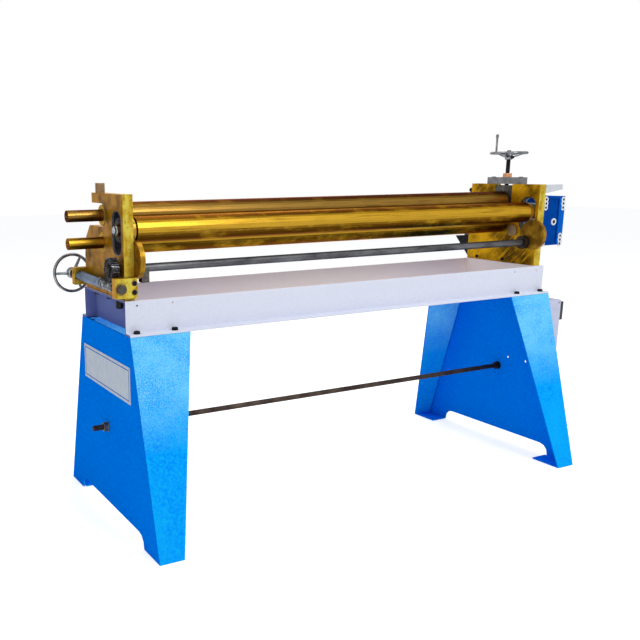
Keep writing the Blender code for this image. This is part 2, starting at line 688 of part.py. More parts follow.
def build_frames(paint):
    front, rear, top = FRAME_FRONT, FRAME_REAR, FRAME_TOP
    mouth_top, mouth_bottom = UPPER_Z + MOUTH_HALF_HEIGHT, UPPER_Z - MOUTH_HALF_HEIGHT
    mouth = arc((PINCH_Y, UPPER_Z), MOUTH_HALF_HEIGHT, 90, 270, 12)
    outline = [(front, FRAME_BOTTOM), (front, top), (OVERHANG_REAR, top), (OVERHANG_REAR, mouth_top)]
    slope = [(y, LOWER_Z + up) for y, up in JAW_SLOPE]
    outline += mouth + [(JAW_REAR, mouth_bottom), *slope, (rear, FRAME_BOTTOM)]
    cuts = frame_cuts(-1)
    half = PIN_SIDE / 2 + SEAT
    cuts.append(block((-FRAME_MIDDLE - half, -FRAME_MIDDLE + half), (PIN_Y - half, PIN_Y + half),
                      (mouth_top - 2, top + 2)))
    node("left_frame", [prism(outline, "x", -FRAME_OUTER, -FRAME_INNER)], paint["gold"], cuts=[cuts])
    half = TOP_SLOT_HALF_WIDTH
    outline = [(front, FRAME_BOTTOM), (front, top), (PINCH_Y - half, top), (PINCH_Y - half, TOP_SLOT_BOTTOM),
               (PINCH_Y + half, TOP_SLOT_BOTTOM), (PINCH_Y + half, top), (rear, top), (rear, FRAME_BOTTOM)]
    cuts = frame_cuts(1)
    lock_z = UPPER_BLOCK_Z[1] - LOCK_BOLT_DROP
    cuts.append(drum(PINCH_Y + half - 2, rear + 2, LOCK_BOLT_RADIUS + SEAT, "y", (FRAME_MIDDLE, lock_z), 12))
    for y in (PINCH_Y + CAP_Y[0] + CAP_SCREW_INSET, PINCH_Y + CAP_Y[1] - CAP_SCREW_INSET):
        cuts.append(drum(top - CAP_SCREW_DEPTH, top + 2, CAP_SCREW_RADIUS + SEAT, "z", (FRAME_MIDDLE, y), 12))
    node("right_frame", [prism(outline, "x", FRAME_INNER, FRAME_OUTER)], paint["gold"], cuts=[cuts])
    for hand, side in HANDS:
        low, high = sorted((side * FRAME_INNER, side * FRAME_OUTER))
        bore = JOURNAL_RADIUS + RUNNING
        bush = tube(low, high, BUSH_RADIUS, bore, "x", (PINCH_Y, LOWER_Z), 32)
        node(hand + "_roll_bush", [bush], paint["bronze"])
        bore = SHAFT_RADIUS + RUNNING
        bush = tube(low, high, SHAFT_BUSH_RADIUS, bore, "x", (SHAFT_Y, SHAFT_Z))
        node(hand + "_shaft_bush", [bush], paint["bronze"])
    keeper_at = (PINCH_Y + KEEPER_PLACE[0], LOWER_Z + KEEPER_PLACE[1])
    keeper = drum(FRAME_INNER - SEAT - KEEPER_THICKNESS, FRAME_INNER - SEAT, KEEPER_RADIUS, "x", keeper_at)
    node("keeper_plate", [keeper], paint["steel"])


def build_rolls(paint):
    reach, bevel = ROLL_BODY_HALF, ROLL_EDGE
    stub = [(-LEFT_REACH + 5, 4), (-LEFT_REACH, 6), (-LEFT_REACH, JOURNAL_RADIUS - 1),
            (-LEFT_REACH + 1, JOURNAL_RADIUS)]
    body = [(-reach, JOURNAL_RADIUS), (-reach, ROLL_RADIUS - bevel), (-reach + bevel, ROLL_RADIUS),
            (reach - bevel, ROLL_RADIUS), (reach, ROLL_RADIUS - bevel), (reach, JOURNAL_RADIUS)]
    lower_end = GEARBOX_MIDDLE + DRIVE_WHEEL_WIDTH / 2 + 7
    rings = stub + body + [(lower_end, JOURNAL_RADIUS)]
    at = (0, PINCH_Y, LOWER_Z)
    node("lower_roll", [turned(rings, "x", at[1:], 32)], paint["roll"], at)
    rings = stub + body + [(FRAME_OUTER - 1, JOURNAL_RADIUS)]
    at = (0, PINCH_Y, UPPER_Z)
    node("upper_roll", [turned(rings, "x", at[1:], 32)], paint["roll"], at)
    reach = BENDING_BODY_HALF
    end = FRAME_OUTER
    rings = [(-end + 16, ROLL_BOLT_RADIUS + SEAT), (-end, ROLL_BOLT_RADIUS + SEAT),
             (-end, JOURNAL_RADIUS), (-reach, JOURNAL_RADIUS),
             (-reach, ROLL_RADIUS - bevel), (-reach + bevel, ROLL_RADIUS)]
    rings += [(-position, radius) for position, radius in reversed(rings)]
    at = (0, BENDING_Y, BENDING_Z)
    node("bending_roll", [turned(rings, "x", at[1:], 32)], paint["roll"], at)
    for hand, side in HANDS:
        width, washer = ROLL_BOLT_HALF_WIDTH, ROLL_BOLT_WASHER
        rings = [(end + 9, width - 0.5), (end + 8, width, 6), (end + 2.3, width, 6), (end + 2.3, washer),
                 (end + SEAT, washer), (end + SEAT, ROLL_BOLT_RADIUS), (end - 14, ROLL_BOLT_RADIUS)]
        rings = [(side * ring[0], *ring[1:]) for ring in rings]
        node(hand + "_roll_bolt", [turned(rings, "x", at[1:], 12)], paint["zinc"], at)
    axis = (PINCH_Y, UPPER_Z)
    bush = tube(-FRAME_OUTER, -FRAME_INNER, BUSH_RADIUS, JOURNAL_RADIUS + RUNNING, "x", axis, 24)
    ball = []
    for angle in (-33, -16, 0, 16, 33):
        turn = math.radians(angle)
        ball.append((FRAME_MIDDLE + BALL_RADIUS * math.sin(turn), BALL_RADIUS * math.cos(turn)))
    ball += [(ball[-1][0], JOURNAL_RADIUS + RUNNING), (ball[0][0], JOURNAL_RADIUS + RUNNING)]
    at = (FRAME_MIDDLE, PINCH_Y, UPPER_Z)
    node("mouth_bush", [bush], paint["bronze"], at)
    node("swivel_bush", [turned(ball, "x", at[1:], 24, closed=True)], paint["bronze"], at)


def build_bending_lift(paint):
    at = (0, BENDING_Y, BENDING_Z)
    width = (BENDING_Y - SLOT_HALF_WIDTH + RUNNING, BENDING_Y + SLOT_HALF_WIDTH - RUNNING)
    height = (BENDING_Z - BLOCK_HALF_HEIGHT, BENDING_Z + BLOCK_HALF_HEIGHT)
    low, high = -FRAME_OUTER - 9, FRAME_OUTER + 9
    bore = drum(low, high, JOURNAL_RADIUS + RUNNING, "x", at[1:], 24)
    for hand, side in HANDS:
        ends = sorted((side * (FRAME_INNER + 0.5), side * (FRAME_OUTER - BLOCK_RECESS)))
        carrier = prism(rounded_outline(width, height, SLOT_CORNER), "x", *ends)
        inner = FRAME_INNER - CAM_FACE_GAP
        ends = sorted((side * (inner - CAM_WIDTH), side * (FRAME_INNER + 3)))
        ring = drum(ends[0], ends[1], RING_RADIUS, "x", at[1:], 36)
        node(hand + "_bending_block", [carrier], paint["dark"], at, joins=[[ring]], cuts=[[bore]])
    at = (0, SHAFT_Y, SHAFT_Z)
    ends = WORM_X - LIFT_WHEEL_WIDTH / 2 - 1.5, FRAME_OUTER + 8
    rings = [(ends[0] + 14, 4 + SEAT), (ends[0], 4 + SEAT), (ends[0], SHAFT_RADIUS - 1),
             (ends[0] + 1, SHAFT_RADIUS), (ends[1] - 1, SHAFT_RADIUS), (ends[1], SHAFT_RADIUS - 1)]
    node("cross_shaft", [turned(rings, "x", at[1:])], paint["dark"], at)
    turn = math.radians(CAM_REST_ANGLE)
    centre = (SHAFT_Y + CAM_OFFSET * math.cos(turn), SHAFT_Z + CAM_OFFSET * math.sin(turn))
    hole = drum(low, high, SHAFT_RADIUS + SEAT, "x", at[1:])
    reach = math.hypot(BENDING_Y - centre[0], BENDING_Z - centre[1])
    cam_radius = reach - RING_RADIUS - CAM_RING_GAP
    for hand, side in HANDS:
        outer = FRAME_INNER - CAM_FACE_GAP
        ends = sorted((side * (outer - CAM_WIDTH), side * outer))
        cam = drum(ends[0], ends[1], cam_radius, "x", centre, 48)
        ends = sorted((side * (outer - CAM_WIDTH - COLLAR_WIDTH), side * (outer - 3)))
        collar = drum(ends[0], ends[1], COLLAR_RADIUS, "x", at[1:])
        node(hand + "_lift_cam", [cam], paint["gold"], at, joins=[[collar]], cuts=[[hole]])
    stop_x = -(FRAME_INNER - CAM_FACE_GAP - CAM_WIDTH - COLLAR_WIDTH - STOP_GAP)
    stop = block((stop_x, stop_x + STOP_LENGTH), (SHAFT_Y - STOP_WIDTH / 2, SHAFT_Y + STOP_WIDTH / 2),
                 (SHAFT_Z - STOP_DROP, SHAFT_Z))
    node("shaft_stop", [stop], paint["brown"], at, cuts=[[hole]], smooth=False)
    middle = WORM_X - 1
    wheel = worm_wheel(LIFT_TEETH, LIFT_MODULE, middle - LIFT_WHEEL_WIDTH / 2, middle + LIFT_WHEEL_WIDTH / 2,
                       SHAFT_RADIUS + SEAT, at[1:], LIFT_CENTRES - LIFT_TEETH * LIFT_MODULE / 2)
    node("worm_wheel", [wheel], paint["dark"], at, smooth=False)


def handwheel(axis, position, centre, hub, rim, spokes, turn):
    """Hub rings, a round rim and spokes fused in one piece."""
    rim_rings = []
    for step in range(8):
        angle = 2 * math.pi * step / 8
        rim_rings.append((position + rim[1] * math.cos(angle), rim[0] + rim[1] * math.sin(angle)))
    bars = []
    for spoke in range(3):
        angle = math.radians(turn + 120 * spoke)
        ends = []
        for place, radius in spokes:
            across = centre[0] + radius * math.cos(angle)
            ends.append(along(axis, place, across, centre[1] + radius * math.sin(angle)))
        bars.append(rod(ends[0], ends[1], SPOKE_RADIUS, 8))
    return turned(hub, axis, centre, 24, closed=True), turned(rim_rings, axis, centre, 32, closed=True), bars


def build_worm_lift(paint):
    centre = (WORM_X, WORM_Z)
    at = (WORM_X, SHAFT_Y, WORM_Z)
    radius = WORM_SHAFT_RADIUS
    worm_radius = LIFT_CENTRES - LIFT_TEETH * LIFT_MODULE / 2
    tip, root = worm_radius + 0.8 * LIFT_MODULE, worm_radius - 1.05 * LIFT_MODULE
    front = FRAME_FRONT - WORM_BLOCK_DEPTH - WORM_SHAFT_END
    thread = WORM_THREAD_Y
    shaft = worm([(front, radius - 1), (front + 1, radius), (thread[0] - 1, radius)], thread,
                 math.pi * LIFT_MODULE, tip, root,
                 [(thread[1] + 1, radius), (SIDE_WHEEL_Y + 12, radius), (SIDE_WHEEL_Y + 13, radius - 1)],
                 "y", centre, SHAFT_Y)
    node("worm_shaft", [shaft], paint["steel"], at, smooth=False)
    sleeve = tube(SLEEVE_START, FRAME_REAR, SLEEVE_RADIUS, radius + SEAT, "y", centre)
    node("spacer_sleeve", [sleeve], paint["steel"], at)
    bore = radius + RUNNING
    depth, block_x = WORM_BLOCK_DEPTH, (WORM_X + WORM_BLOCK_X[0], WORM_X + WORM_BLOCK_X[1])
    for name, low, high, z in (("front_worm_block", FRAME_FRONT - depth, FRAME_FRONT - SEAT, FRONT_BLOCK_Z),
                               ("rear_worm_block", FRAME_REAR + SEAT, FRAME_REAR + depth, REAR_BLOCK_Z)):
        holes = [drum(low - 5, high + 5, bore, "y", centre)]
        solid = block(block_x, (low, high), (WORM_Z + z[0], WORM_Z + z[1]))
        node(name, [solid], paint["gold"], cuts=[holes], smooth=False)
    place = SIDE_WHEEL_Y
    hub = [(place - 16, 15), (place + 10, 15), (place + 12, 13), (place + 12, radius + SEAT),
           (place - 16, radius + SEAT)]
    hub, rim, bars = handwheel("y", place, centre, hub, (SIDE_WHEEL_RADIUS, SIDE_RIM_RADIUS),
                               ((place - 4, 12), (place, SIDE_WHEEL_RADIUS)), 60)
    node("side_handwheel", [hub], paint["chrome"], at, joins=[[rim], bars])


def build_adjustment(paint):
    centre = (FRAME_MIDDLE, PINCH_Y)
    at = (FRAME_MIDDLE, PINCH_Y, UPPER_Z)
    half = TOP_SLOT_HALF_WIDTH - UPPER_BLOCK_SIDE_GAP
    low, high = UPPER_BLOCK_Z
    bore = drum(FRAME_INNER - 5, FRAME_OUTER + 5, BALL_RADIUS + RUNNING, "x", (PINCH_Y, UPPER_Z), 32)
    socket = drum(high - SCREW_SOCKET_DEPTH, high + 2, SCREW_RADIUS + RUNNING, "z", centre, 16)
    node("upper_block", [block((FRAME_INNER + 0.5, FRAME_OUTER - 0.5), (PINCH_Y - half, PINCH_Y + half),
                               UPPER_BLOCK_Z)], paint["dark"], at, cuts=[[bore, socket]], smooth=False)
    top = CAP_TOP
    cuts = [drum(FRAME_TOP - 2, top + 2, SCREW_RADIUS + RUNNING, "z", centre, 16)]
    for y in (PINCH_Y + CAP_Y[0] + CAP_SCREW_INSET, PINCH_Y + CAP_Y[1] - CAP_SCREW_INSET):
        cuts.append(drum(FRAME_TOP - 2, top + 2, CAP_SCREW_RADIUS + SEAT, "z", (FRAME_MIDDLE, y), 12))
    cap_y = (PINCH_Y + CAP_Y[0], PINCH_Y + CAP_Y[1])
    cap = block((FRAME_INNER + 1, FRAME_OUTER - 1), cap_y, (FRAME_TOP + SEAT, top))
    node("cap_bar", [cap], paint["steel"], cuts=[cuts], smooth=False)
    nut = hex_nut(top + SEAT, top + NUT_HEIGHT, NUT_HALF_WIDTH, SCREW_RADIUS + RUNNING, "z", centre)
    node("screw_nut", [nut], paint["copper"])
    rings = [(high - SCREW_SOCKET_DEPTH + SEAT, SCREW_RADIUS), (TOP_RIM_Z + 7, SCREW_RADIUS),
             (TOP_RIM_Z + 8, SCREW_RADIUS - 1)]
    node("adjusting_screw", [turned(rings, "z", centre, 16)], paint["black"], at)
    bore = SCREW_RADIUS + SEAT
    hub_top = HUB_BOTTOM + HUB_HEIGHT
    hub = [(HUB_BOTTOM, HUB_RADIUS), (hub_top, HUB_RADIUS), (hub_top, bore), (HUB_BOTTOM, bore)]
    hub, rim, bars = handwheel("z", TOP_RIM_Z, centre, hub, (TOP_WHEEL_RADIUS, TOP_RIM_RADIUS),
                               ((HUB_BOTTOM + 8, HUB_RADIUS - 2), (TOP_RIM_Z, TOP_WHEEL_RADIUS)), 90)
    bottom = TOP_RIM_Z - TOP_RIM_RADIUS - 2
    handle_at = (FRAME_MIDDLE, PINCH_Y + TOP_WHEEL_RADIUS)
    pin = HANDLE_PIN_RADIUS
    hole = drum(bottom, TOP_RIM_Z + 8, pin + SEAT, "z", handle_at, 12)
    node("top_handwheel", [hub], paint["chrome"], at, joins=[[rim], bars], cuts=[[hole]])
    rings = [(bottom + 2, pin), (TOP_RIM_Z + 5, pin), (TOP_RIM_Z + 5, pin + 1), (HANDLE_TOP - 12, pin + 1),
             (HANDLE_TOP - 10, pin + 2.3), (HANDLE_TOP - 2, pin + 2.3), (HANDLE_TOP, pin + 0.3)]
    node("crank_handle", [turned(rings, "z", handle_at, 12)], paint["chrome"], at)
    head = FRAME_REAR + 10
    tip = PINCH_Y + TOP_SLOT_HALF_WIDTH + 0.2
    bolt = hex_bolt(head, 1, 7, LOCK_BOLT_RADIUS + 2.5, LOCK_BOLT_RADIUS, head - tip,
                    "y", (FRAME_MIDDLE, high - LOCK_BOLT_DROP))
    node("block_lock_bolt", [bolt], paint["black"])
    half = PIN_SIDE / 2
    foot = UPPER_Z + MOUTH_HALF_HEIGHT + SEAT
    pin = block((-FRAME_MIDDLE - half, -FRAME_MIDDLE + half), (PIN_Y - half, PIN_Y + half),
                (foot, FRAME_TOP + PIN_ABOVE_FRAME))
    node("locking_pin", [pin], paint["brown"], (-FRAME_MIDDLE, PIN_Y, foot), smooth=False)


def build_drive(paint):
    x, y, z, wall = GEARBOX_X, GEARBOX_Y, GEARBOX_Z, GEARBOX_WALL
    axis = (PINCH_Y, LOWER_Z)
    worm_axis = (GEARBOX_MIDDLE, DRIVE_WORM_Z)
    front = y[0] + COVER_THICKNESS + SEAT
    shell = block(x, (front, y[1]), z)
    cavity = block((x[0] + wall, x[1] - wall), (front - 2, y[1] - wall), (z[0] + wall, z[1] - wall))
    holes = [drum(x[0] - 2, x[0] + wall + 2, JOURNAL_RADIUS + 1, "x", axis),
             drum(y[1] - wall - 2, y[1] + 2, WORM_SHAFT_RADIUS + 1, "y", worm_axis, 16)]
    lug_blocks, lug_holes = [], []
    inset = LUG_INSET
    for end_x in (x[0] + inset, x[1] - inset):
        for end_z in (z[0] + inset, z[1] - inset):
            lug_blocks.append(block((end_x - inset, end_x + inset), (front, front + inset),
                                    (end_z - inset, end_z + inset)))
            lug_holes.append(drum(y[0] - 2, y[0] + 15, LUG_SCREW_RADIUS + SEAT, "y", (end_x, end_z), 12))
    housing = node("gearbox_housing", [shell], paint["gearbox"], cuts=[[cavity], holes], smooth=False)
    combine(housing, lug_blocks, "UNION", "lugs")
    combine(housing, lug_holes, "DIFFERENCE", "lug_holes")
    cover = block(x, (y[0], front - SEAT), z)
    recess_y = (y[0] - 2, y[0] + COVER_RECESS)
    recess = block((x[0] + RECESS_SIDES[0], x[1] - RECESS_SIDES[1]), recess_y,
                   (z[0] + RECESS_ENDS[0], z[1] - RECESS_ENDS[1]))
    node("gearbox_cover", [cover], paint["gearbox"], cuts=[[recess], lug_holes], smooth=False)
    flange = tube(FRAME_OUTER + SEAT, x[0] - SEAT, SPACER_RADIUS, JOURNAL_RADIUS + 1, "x", axis, 32)
    node("spacer_flange", [flange], paint["gearbox"])
    wheel_radius = DRIVE_TEETH * DRIVE_MODULE / 2
    worm_radius = DRIVE_CENTRES - wheel_radius
    half = DRIVE_WHEEL_WIDTH / 2
    wheel = worm_wheel(DRIVE_TEETH, DRIVE_MODULE, GEARBOX_MIDDLE - half, GEARBOX_MIDDLE + half,
                       JOURNAL_RADIUS + SEAT, axis, worm_radius)
    node("drive_wheel", [wheel], paint["bronze"], (0, PINCH_Y, LOWER_Z), smooth=False)
    radius = WORM_SHAFT_RADIUS
    back = MOTOR_Y[1] + 26
    thread = (PINCH_Y - 35, PINCH_Y + 34)
    rotor = (MOTOR_Y[0] + 24, MOTOR_Y[1] - 40)
    shaft = worm([(thread[0] - 7, radius), (thread[0] - 2, radius)], thread, math.pi * DRIVE_MODULE,
                 worm_radius + 0.8 * DRIVE_MODULE, worm_radius - 1.05 * DRIVE_MODULE,
                 [(thread[1] + 2, radius), (rotor[0], radius), (rotor[0], ROTOR_RADIUS),
                  (rotor[1], ROTOR_RADIUS), (rotor[1], radius), (back, radius)], "y", worm_axis, PINCH_Y)
    at = (GEARBOX_MIDDLE, PINCH_Y, DRIVE_WORM_Z)
    node("motor_shaft", [shaft], paint["steel"], at, smooth=False)
    low, high = MOTOR_Y
    outer, inner = MOTOR_RADIUS, MOTOR_BORE_RADIUS
    rings = [(low, outer), (low + 10, outer), (low + 10, outer - 4), (high - 8, outer - 4), (high - 8, outer),
             (high, outer), (high, radius + 1), (high - 8, radius + 1), (high - 8, inner), (low + 10, inner),
             (low + 10, radius + 1), (low, radius + 1)]
    fins = []
    for step in range(12):
        angle = 2 * math.pi * step / 12
        x = GEARBOX_MIDDLE + (outer - 6) * math.cos(angle)
        z = DRIVE_WORM_Z + (outer - 6) * math.sin(angle)
        fins.append(rod((x, low + 5, z), (x, high - 4, z), 4.5, 6))
    top = DRIVE_WORM_Z + outer
    near = low + TERMINAL_FROM_FLANGE
    terminal = block((GEARBOX_MIDDLE - TERMINAL_HALF_WIDTH, GEARBOX_MIDDLE + TERMINAL_HALF_WIDTH),
                     (near, near + TERMINAL_LENGTH), (top - 8, top + TERMINAL_HEIGHT))
    node("motor_housing", [turned(rings, "y", worm_axis, 24, closed=True)], paint["gearbox"],
         joins=[fins, [terminal]])
    start = high + SEAT
    end = start + FAN_COVER_DEPTH
    rings = [(start, outer), (end - 2, outer), (end, outer - 4), (end, 12), (end - 2, 12),
             (end - 2, outer - 5), (start, outer - 3)]
    node("fan_cover", [turned(rings, "y", worm_axis, 24, closed=True)], paint["plastic"])
    blades = []
    for step in range(6):
        angle = 2 * math.pi * step / 6
        ends = [(GEARBOX_MIDDLE + reach * math.cos(angle), high + 14, DRIVE_WORM_Z + reach * math.sin(angle))
                for reach in (13, FAN_REACH)]
        blades.append(rod(ends[0], ends[1], 3.5, 6))
    hub = tube(high + 8, high + 22, 15, radius + SEAT, "y", worm_axis)
    node("fan", [hub], paint["plastic"], at, joins=[blades])
    out = FRAME_OUTER + SEAT
    outline = [(FRAME_REAR + y, BED_TOP + up) for y, up in GUSSET_SHAPE]
    gusset = prism(outline, "x", out, out + GUSSET_THICKNESS)
    holes = []
    for y, up in GUSSET_HOLES:
        centre = (FRAME_REAR + y, BED_TOP + up)
        holes.append(drum(out - 2, out + GUSSET_THICKNESS + 2, GUSSET_HOLE_RADIUS + SEAT, "x", centre, 12))
    node("rear_gusset", [gusset], paint["black"], cuts=[holes], smooth=False)
    top = FRAME_TOP - 1
    outline = [(out, top - BRACKET_HEIGHT), (out, top), (out + BRACKET_LENGTH, top),
               (out + BRACKET_LENGTH, top - BRACKET_TIP)]
    flange = block((out, out + BRACKET_SHEET), (FRAME_FRONT + 0.5, FRAME_FRONT + BRACKET_FLANGE),
                   (top - BRACKET_HEIGHT + 1, top - 1))
    node("side_bracket", [prism(outline, "y", FRAME_FRONT, FRAME_FRONT + BRACKET_SHEET)], paint["bed"],
         smooth=False, joins=[[flange]])


def build_control_box(paint):
    x, y, z = BOX_X, BOX_Y, BOX_Z
    front = y[0] + SEAT
    shell = block(x, (front, y[1]), z)
    wall = BOX_WALL
    cavity = block((x[0] + wall, x[1] - wall), (front - 2, y[1] - wall), (z[0] + wall, z[1] - wall))
    node("control_box", [shell], paint["box"], cuts=[[cavity]], smooth=False)
    cover_back = front - SEAT
    cover = block(x, (cover_back - BOX_COVER, cover_back), z)
    node("control_cover", [cover], paint["box"], smooth=False)
    out = x[1] + SEAT
    housing = block((out, out + SWITCH_DEPTH), (y[0], y[0] + SWITCH_WIDTH), SWITCH_Z)
    middle = y[0] + SWITCH_WIDTH / 2
    face = out + SWITCH_DEPTH
    back = face - 2 * BUTTON_RADIUS + 4
    cuts = [drum(back, face + 2, BUTTON_RADIUS + SEAT, "x", (middle, height), 20) for _, height, _ in BUTTONS]
    node("switch_housing", [housing], paint["plastic"], cuts=[cuts], smooth=False)
    tip = face + BUTTON_PROUD
    for name, height, colour in BUTTONS:
        start = back + BUTTON_TRAVEL + 1
        rings = [(start, BUTTON_RADIUS), (tip - 1, BUTTON_RADIUS), (tip, BUTTON_RADIUS - 1)]
        node(name, [turned(rings, "x", (middle, height), 20)], paint[colour], (tip, middle, height))


def main():
    clear_scene()
    root = bpy.data.objects.new("machine", None)
    root.location.x = (LEFT_REACH - RIGHT_REACH) / 2 * MM
    bpy.context.collection.objects.link(root)
    paint = make_materials()
    build_stand(paint)
    build_frames(paint)
    build_rolls(paint)
    build_bending_lift(paint)
    build_worm_lift(paint)
    build_adjustment(paint)
    build_drive(paint)
    build_control_box(paint)


main()
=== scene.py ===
import math

import bpy
import bmesh
from mathutils import Matrix, Vector


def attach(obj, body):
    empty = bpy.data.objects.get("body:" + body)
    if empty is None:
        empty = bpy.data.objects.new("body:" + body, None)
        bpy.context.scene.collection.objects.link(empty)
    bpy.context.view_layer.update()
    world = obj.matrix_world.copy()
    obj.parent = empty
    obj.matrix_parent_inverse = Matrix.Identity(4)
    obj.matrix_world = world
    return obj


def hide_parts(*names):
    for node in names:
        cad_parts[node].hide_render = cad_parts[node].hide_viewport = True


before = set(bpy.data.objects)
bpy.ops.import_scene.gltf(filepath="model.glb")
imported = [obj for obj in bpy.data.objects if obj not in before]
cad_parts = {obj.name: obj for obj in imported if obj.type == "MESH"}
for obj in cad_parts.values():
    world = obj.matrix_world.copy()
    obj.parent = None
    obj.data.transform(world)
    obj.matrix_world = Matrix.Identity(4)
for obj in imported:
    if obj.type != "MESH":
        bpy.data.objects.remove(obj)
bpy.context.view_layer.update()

MM = 0.001
# The part's middle lies this far from the middle of its rolls
MIDDLE_SHIFT = -48.0

bpy.context.scene.view_settings.view_transform = "Standard"


def place(x, y, z):
    return Vector(((x + MIDDLE_SHIFT) * MM, y * MM, z * MM))


# Faces, edges and axes of the part that added pieces and finishes start from, in millimetres
BED_END = 680
BED_TOP = 582
BED_UNDER = 576.7
FLANGE_TOP = 507.3
LEG_TAB_UNDER = 497.4
FLANGE_BOLT_X = (658, 561)
FLANGE_BOLT_Y = 153
FRAME_OUTER = 675
FRAME_MIDDLE = 662.5
FRAME_INNER = 650
FRAME_BOLT_Y = (-60, 2, 92)
CAP_TOP = 842.3
CAP_SCREW_Y = (-43, 63)
SHAFT_AXIS = (-96, 651)
BENDING_AXIS = (-88, 740)
SLOT_Y = (-117, -59)
SLOT_Z = (682.5, 784.5)
SLOT_CORNER = 24
WORM_AXIS = (-692, 612)
WORM_BLOCK_FRONT = -148
WORM_SCREW_X = -659
SCREW_AXIS = (662.5, 10)
MOTOR_AXIS = (811, 655)
GEARBOX_FRONT = -50.2

# Colours painted on one spot of a finish: the three shade colours are painted shade, the two azure colours
# painted highlight near the top of the legs' front
SLOT_SHADE = (0.05, 0.055, 0.07)
AZURE_HIGHLIGHT_PATCH = (0.10, 0.58, 1.0)
AZURE_HIGHLIGHT_SPECK = (0.24, 0.66, 1.0)
FLANGE_SHADE = (0.0, 0.05, 0.26)
LEFT_SHADE = (0.16, 0.20, 0.45)

# Studio light: name, place in metres, size and power
LAMPS = (("key", (0.5, -3.0, 3.1), 1.3, 70), ("fill", (-3.2, -1.2, 1.6), 2.0, 12),
         ("top", (0.0, 0.6, 3.4), 2.4, 38), ("back", (1.5, 3.2, 2.4), 2.0, 24))
LAMP_AIM = (0, 0, 0.5)
WORLD_GLOW = 0.42
FLOOR_LIFT = 0.6
FLOOR_HALF = 14

# Softened edges
EDGE_ANGLE = math.radians(40)
NODE_EDGE = 0.5


# Shader groups shared by several finishes
def new_group(name, inputs, outputs):
    group = bpy.data.node_groups.new(name, "ShaderNodeTree")
    for socket, kind, value in inputs:
        made = group.interface.new_socket(name=socket, in_out="INPUT", socket_type=kind)
        made.default_value = value
    for socket, kind in outputs:
        group.interface.new_socket(name=socket, in_out="OUTPUT", socket_type=kind)
    return group, group.nodes.new("NodeGroupInput"), group.nodes.new("NodeGroupOutput")


def build_patch_group():
    """Soft patches or streaks: Stretch sets how long they run along each axis."""
    group, given, result = new_group(
        "surface patches",
        [("Scale", "NodeSocketFloat", 20.0), ("Stretch", "NodeSocketVector", (1, 1, 1)),
         ("Low", "NodeSocketFloat", 0.35), ("High", "NodeSocketFloat", 0.65),
         ("Turn", "NodeSocketVector", (0, 0, 0))],
        [("Mask", "NodeSocketFloat")])
    nodes, links = group.nodes, group.links
    where = nodes.new("ShaderNodeTexCoord")
    mapping = nodes.new("ShaderNodeMapping")
    noise = nodes.new("ShaderNodeTexNoise")
    noise.inputs["Detail"].default_value = 5.0
    noise.inputs["Roughness"].default_value = 0.6
    spread = nodes.new("ShaderNodeMapRange")
    turning = nodes.new("ShaderNodeMapping")
    links.new(where.outputs["Object"], turning.inputs["Vector"])
    links.new(given.outputs["Turn"], turning.inputs["Rotation"])
    links.new(turning.outputs["Vector"], mapping.inputs["Vector"])
    links.new(given.outputs["Stretch"], mapping.inputs["Scale"])
    links.new(mapping.outputs["Vector"], noise.inputs["Vector"])
    links.new(given.outputs["Scale"], noise.inputs["Scale"])
    links.new(noise.outputs["Fac"], spread.inputs["Value"])
    links.new(given.outputs["Low"], spread.inputs["From Min"])
    links.new(given.outputs["High"], spread.inputs["From Max"])
    links.new(spread.outputs["Result"], result.inputs["Mask"])
    return group


def build_grain_group():
    """Height of a fine grain, as in sprayed paint or a ground face."""
    group, given, result = new_group(
        "fine grain",
        [("Scale", "NodeSocketFloat", 800.0), ("Stretch", "NodeSocketVector", (1, 1, 1))],
        [("Height", "NodeSocketFloat")])
    nodes, links = group.nodes, group.links
    where = nodes.new("ShaderNodeTexCoord")
    mapping = nodes.new("ShaderNodeMapping")
    noise = nodes.new("ShaderNodeTexNoise")
    noise.inputs["Detail"].default_value = 2.0
    links.new(where.outputs["Object"], mapping.inputs["Vector"])
    links.new(given.outputs["Stretch"], mapping.inputs["Scale"])
    links.new(mapping.outputs["Vector"], noise.inputs["Vector"])
    links.new(given.outputs["Scale"], noise.inputs["Scale"])
    links.new(noise.outputs["Fac"], result.inputs["Height"])
    return group


def build_face_group():
    """Mask of the faces that look along one axis, such as the front edges of a plate."""
    group, given, result = new_group(
        "faces that look one way",
        [("Way", "NodeSocketVector", (0, -1, 0)), ("Low", "NodeSocketFloat", 0.6),
         ("High", "NodeSocketFloat", 0.9)],
        [("Mask", "NodeSocketFloat")])
    nodes, links = group.nodes, group.links
    surface = nodes.new("ShaderNodeNewGeometry")
    dot = nodes.new("ShaderNodeVectorMath")
    dot.operation = "DOT_PRODUCT"
    spread = nodes.new("ShaderNodeMapRange")
    links.new(given.outputs["Low"], spread.inputs["From Min"])
    links.new(given.outputs["High"], spread.inputs["From Max"])
    links.new(surface.outputs["Normal"], dot.inputs[0])
    links.new(given.outputs["Way"], dot.inputs[1])
    links.new(dot.outputs["Value"], spread.inputs["Value"])
    links.new(spread.outputs["Result"], result.inputs["Mask"])
    return group


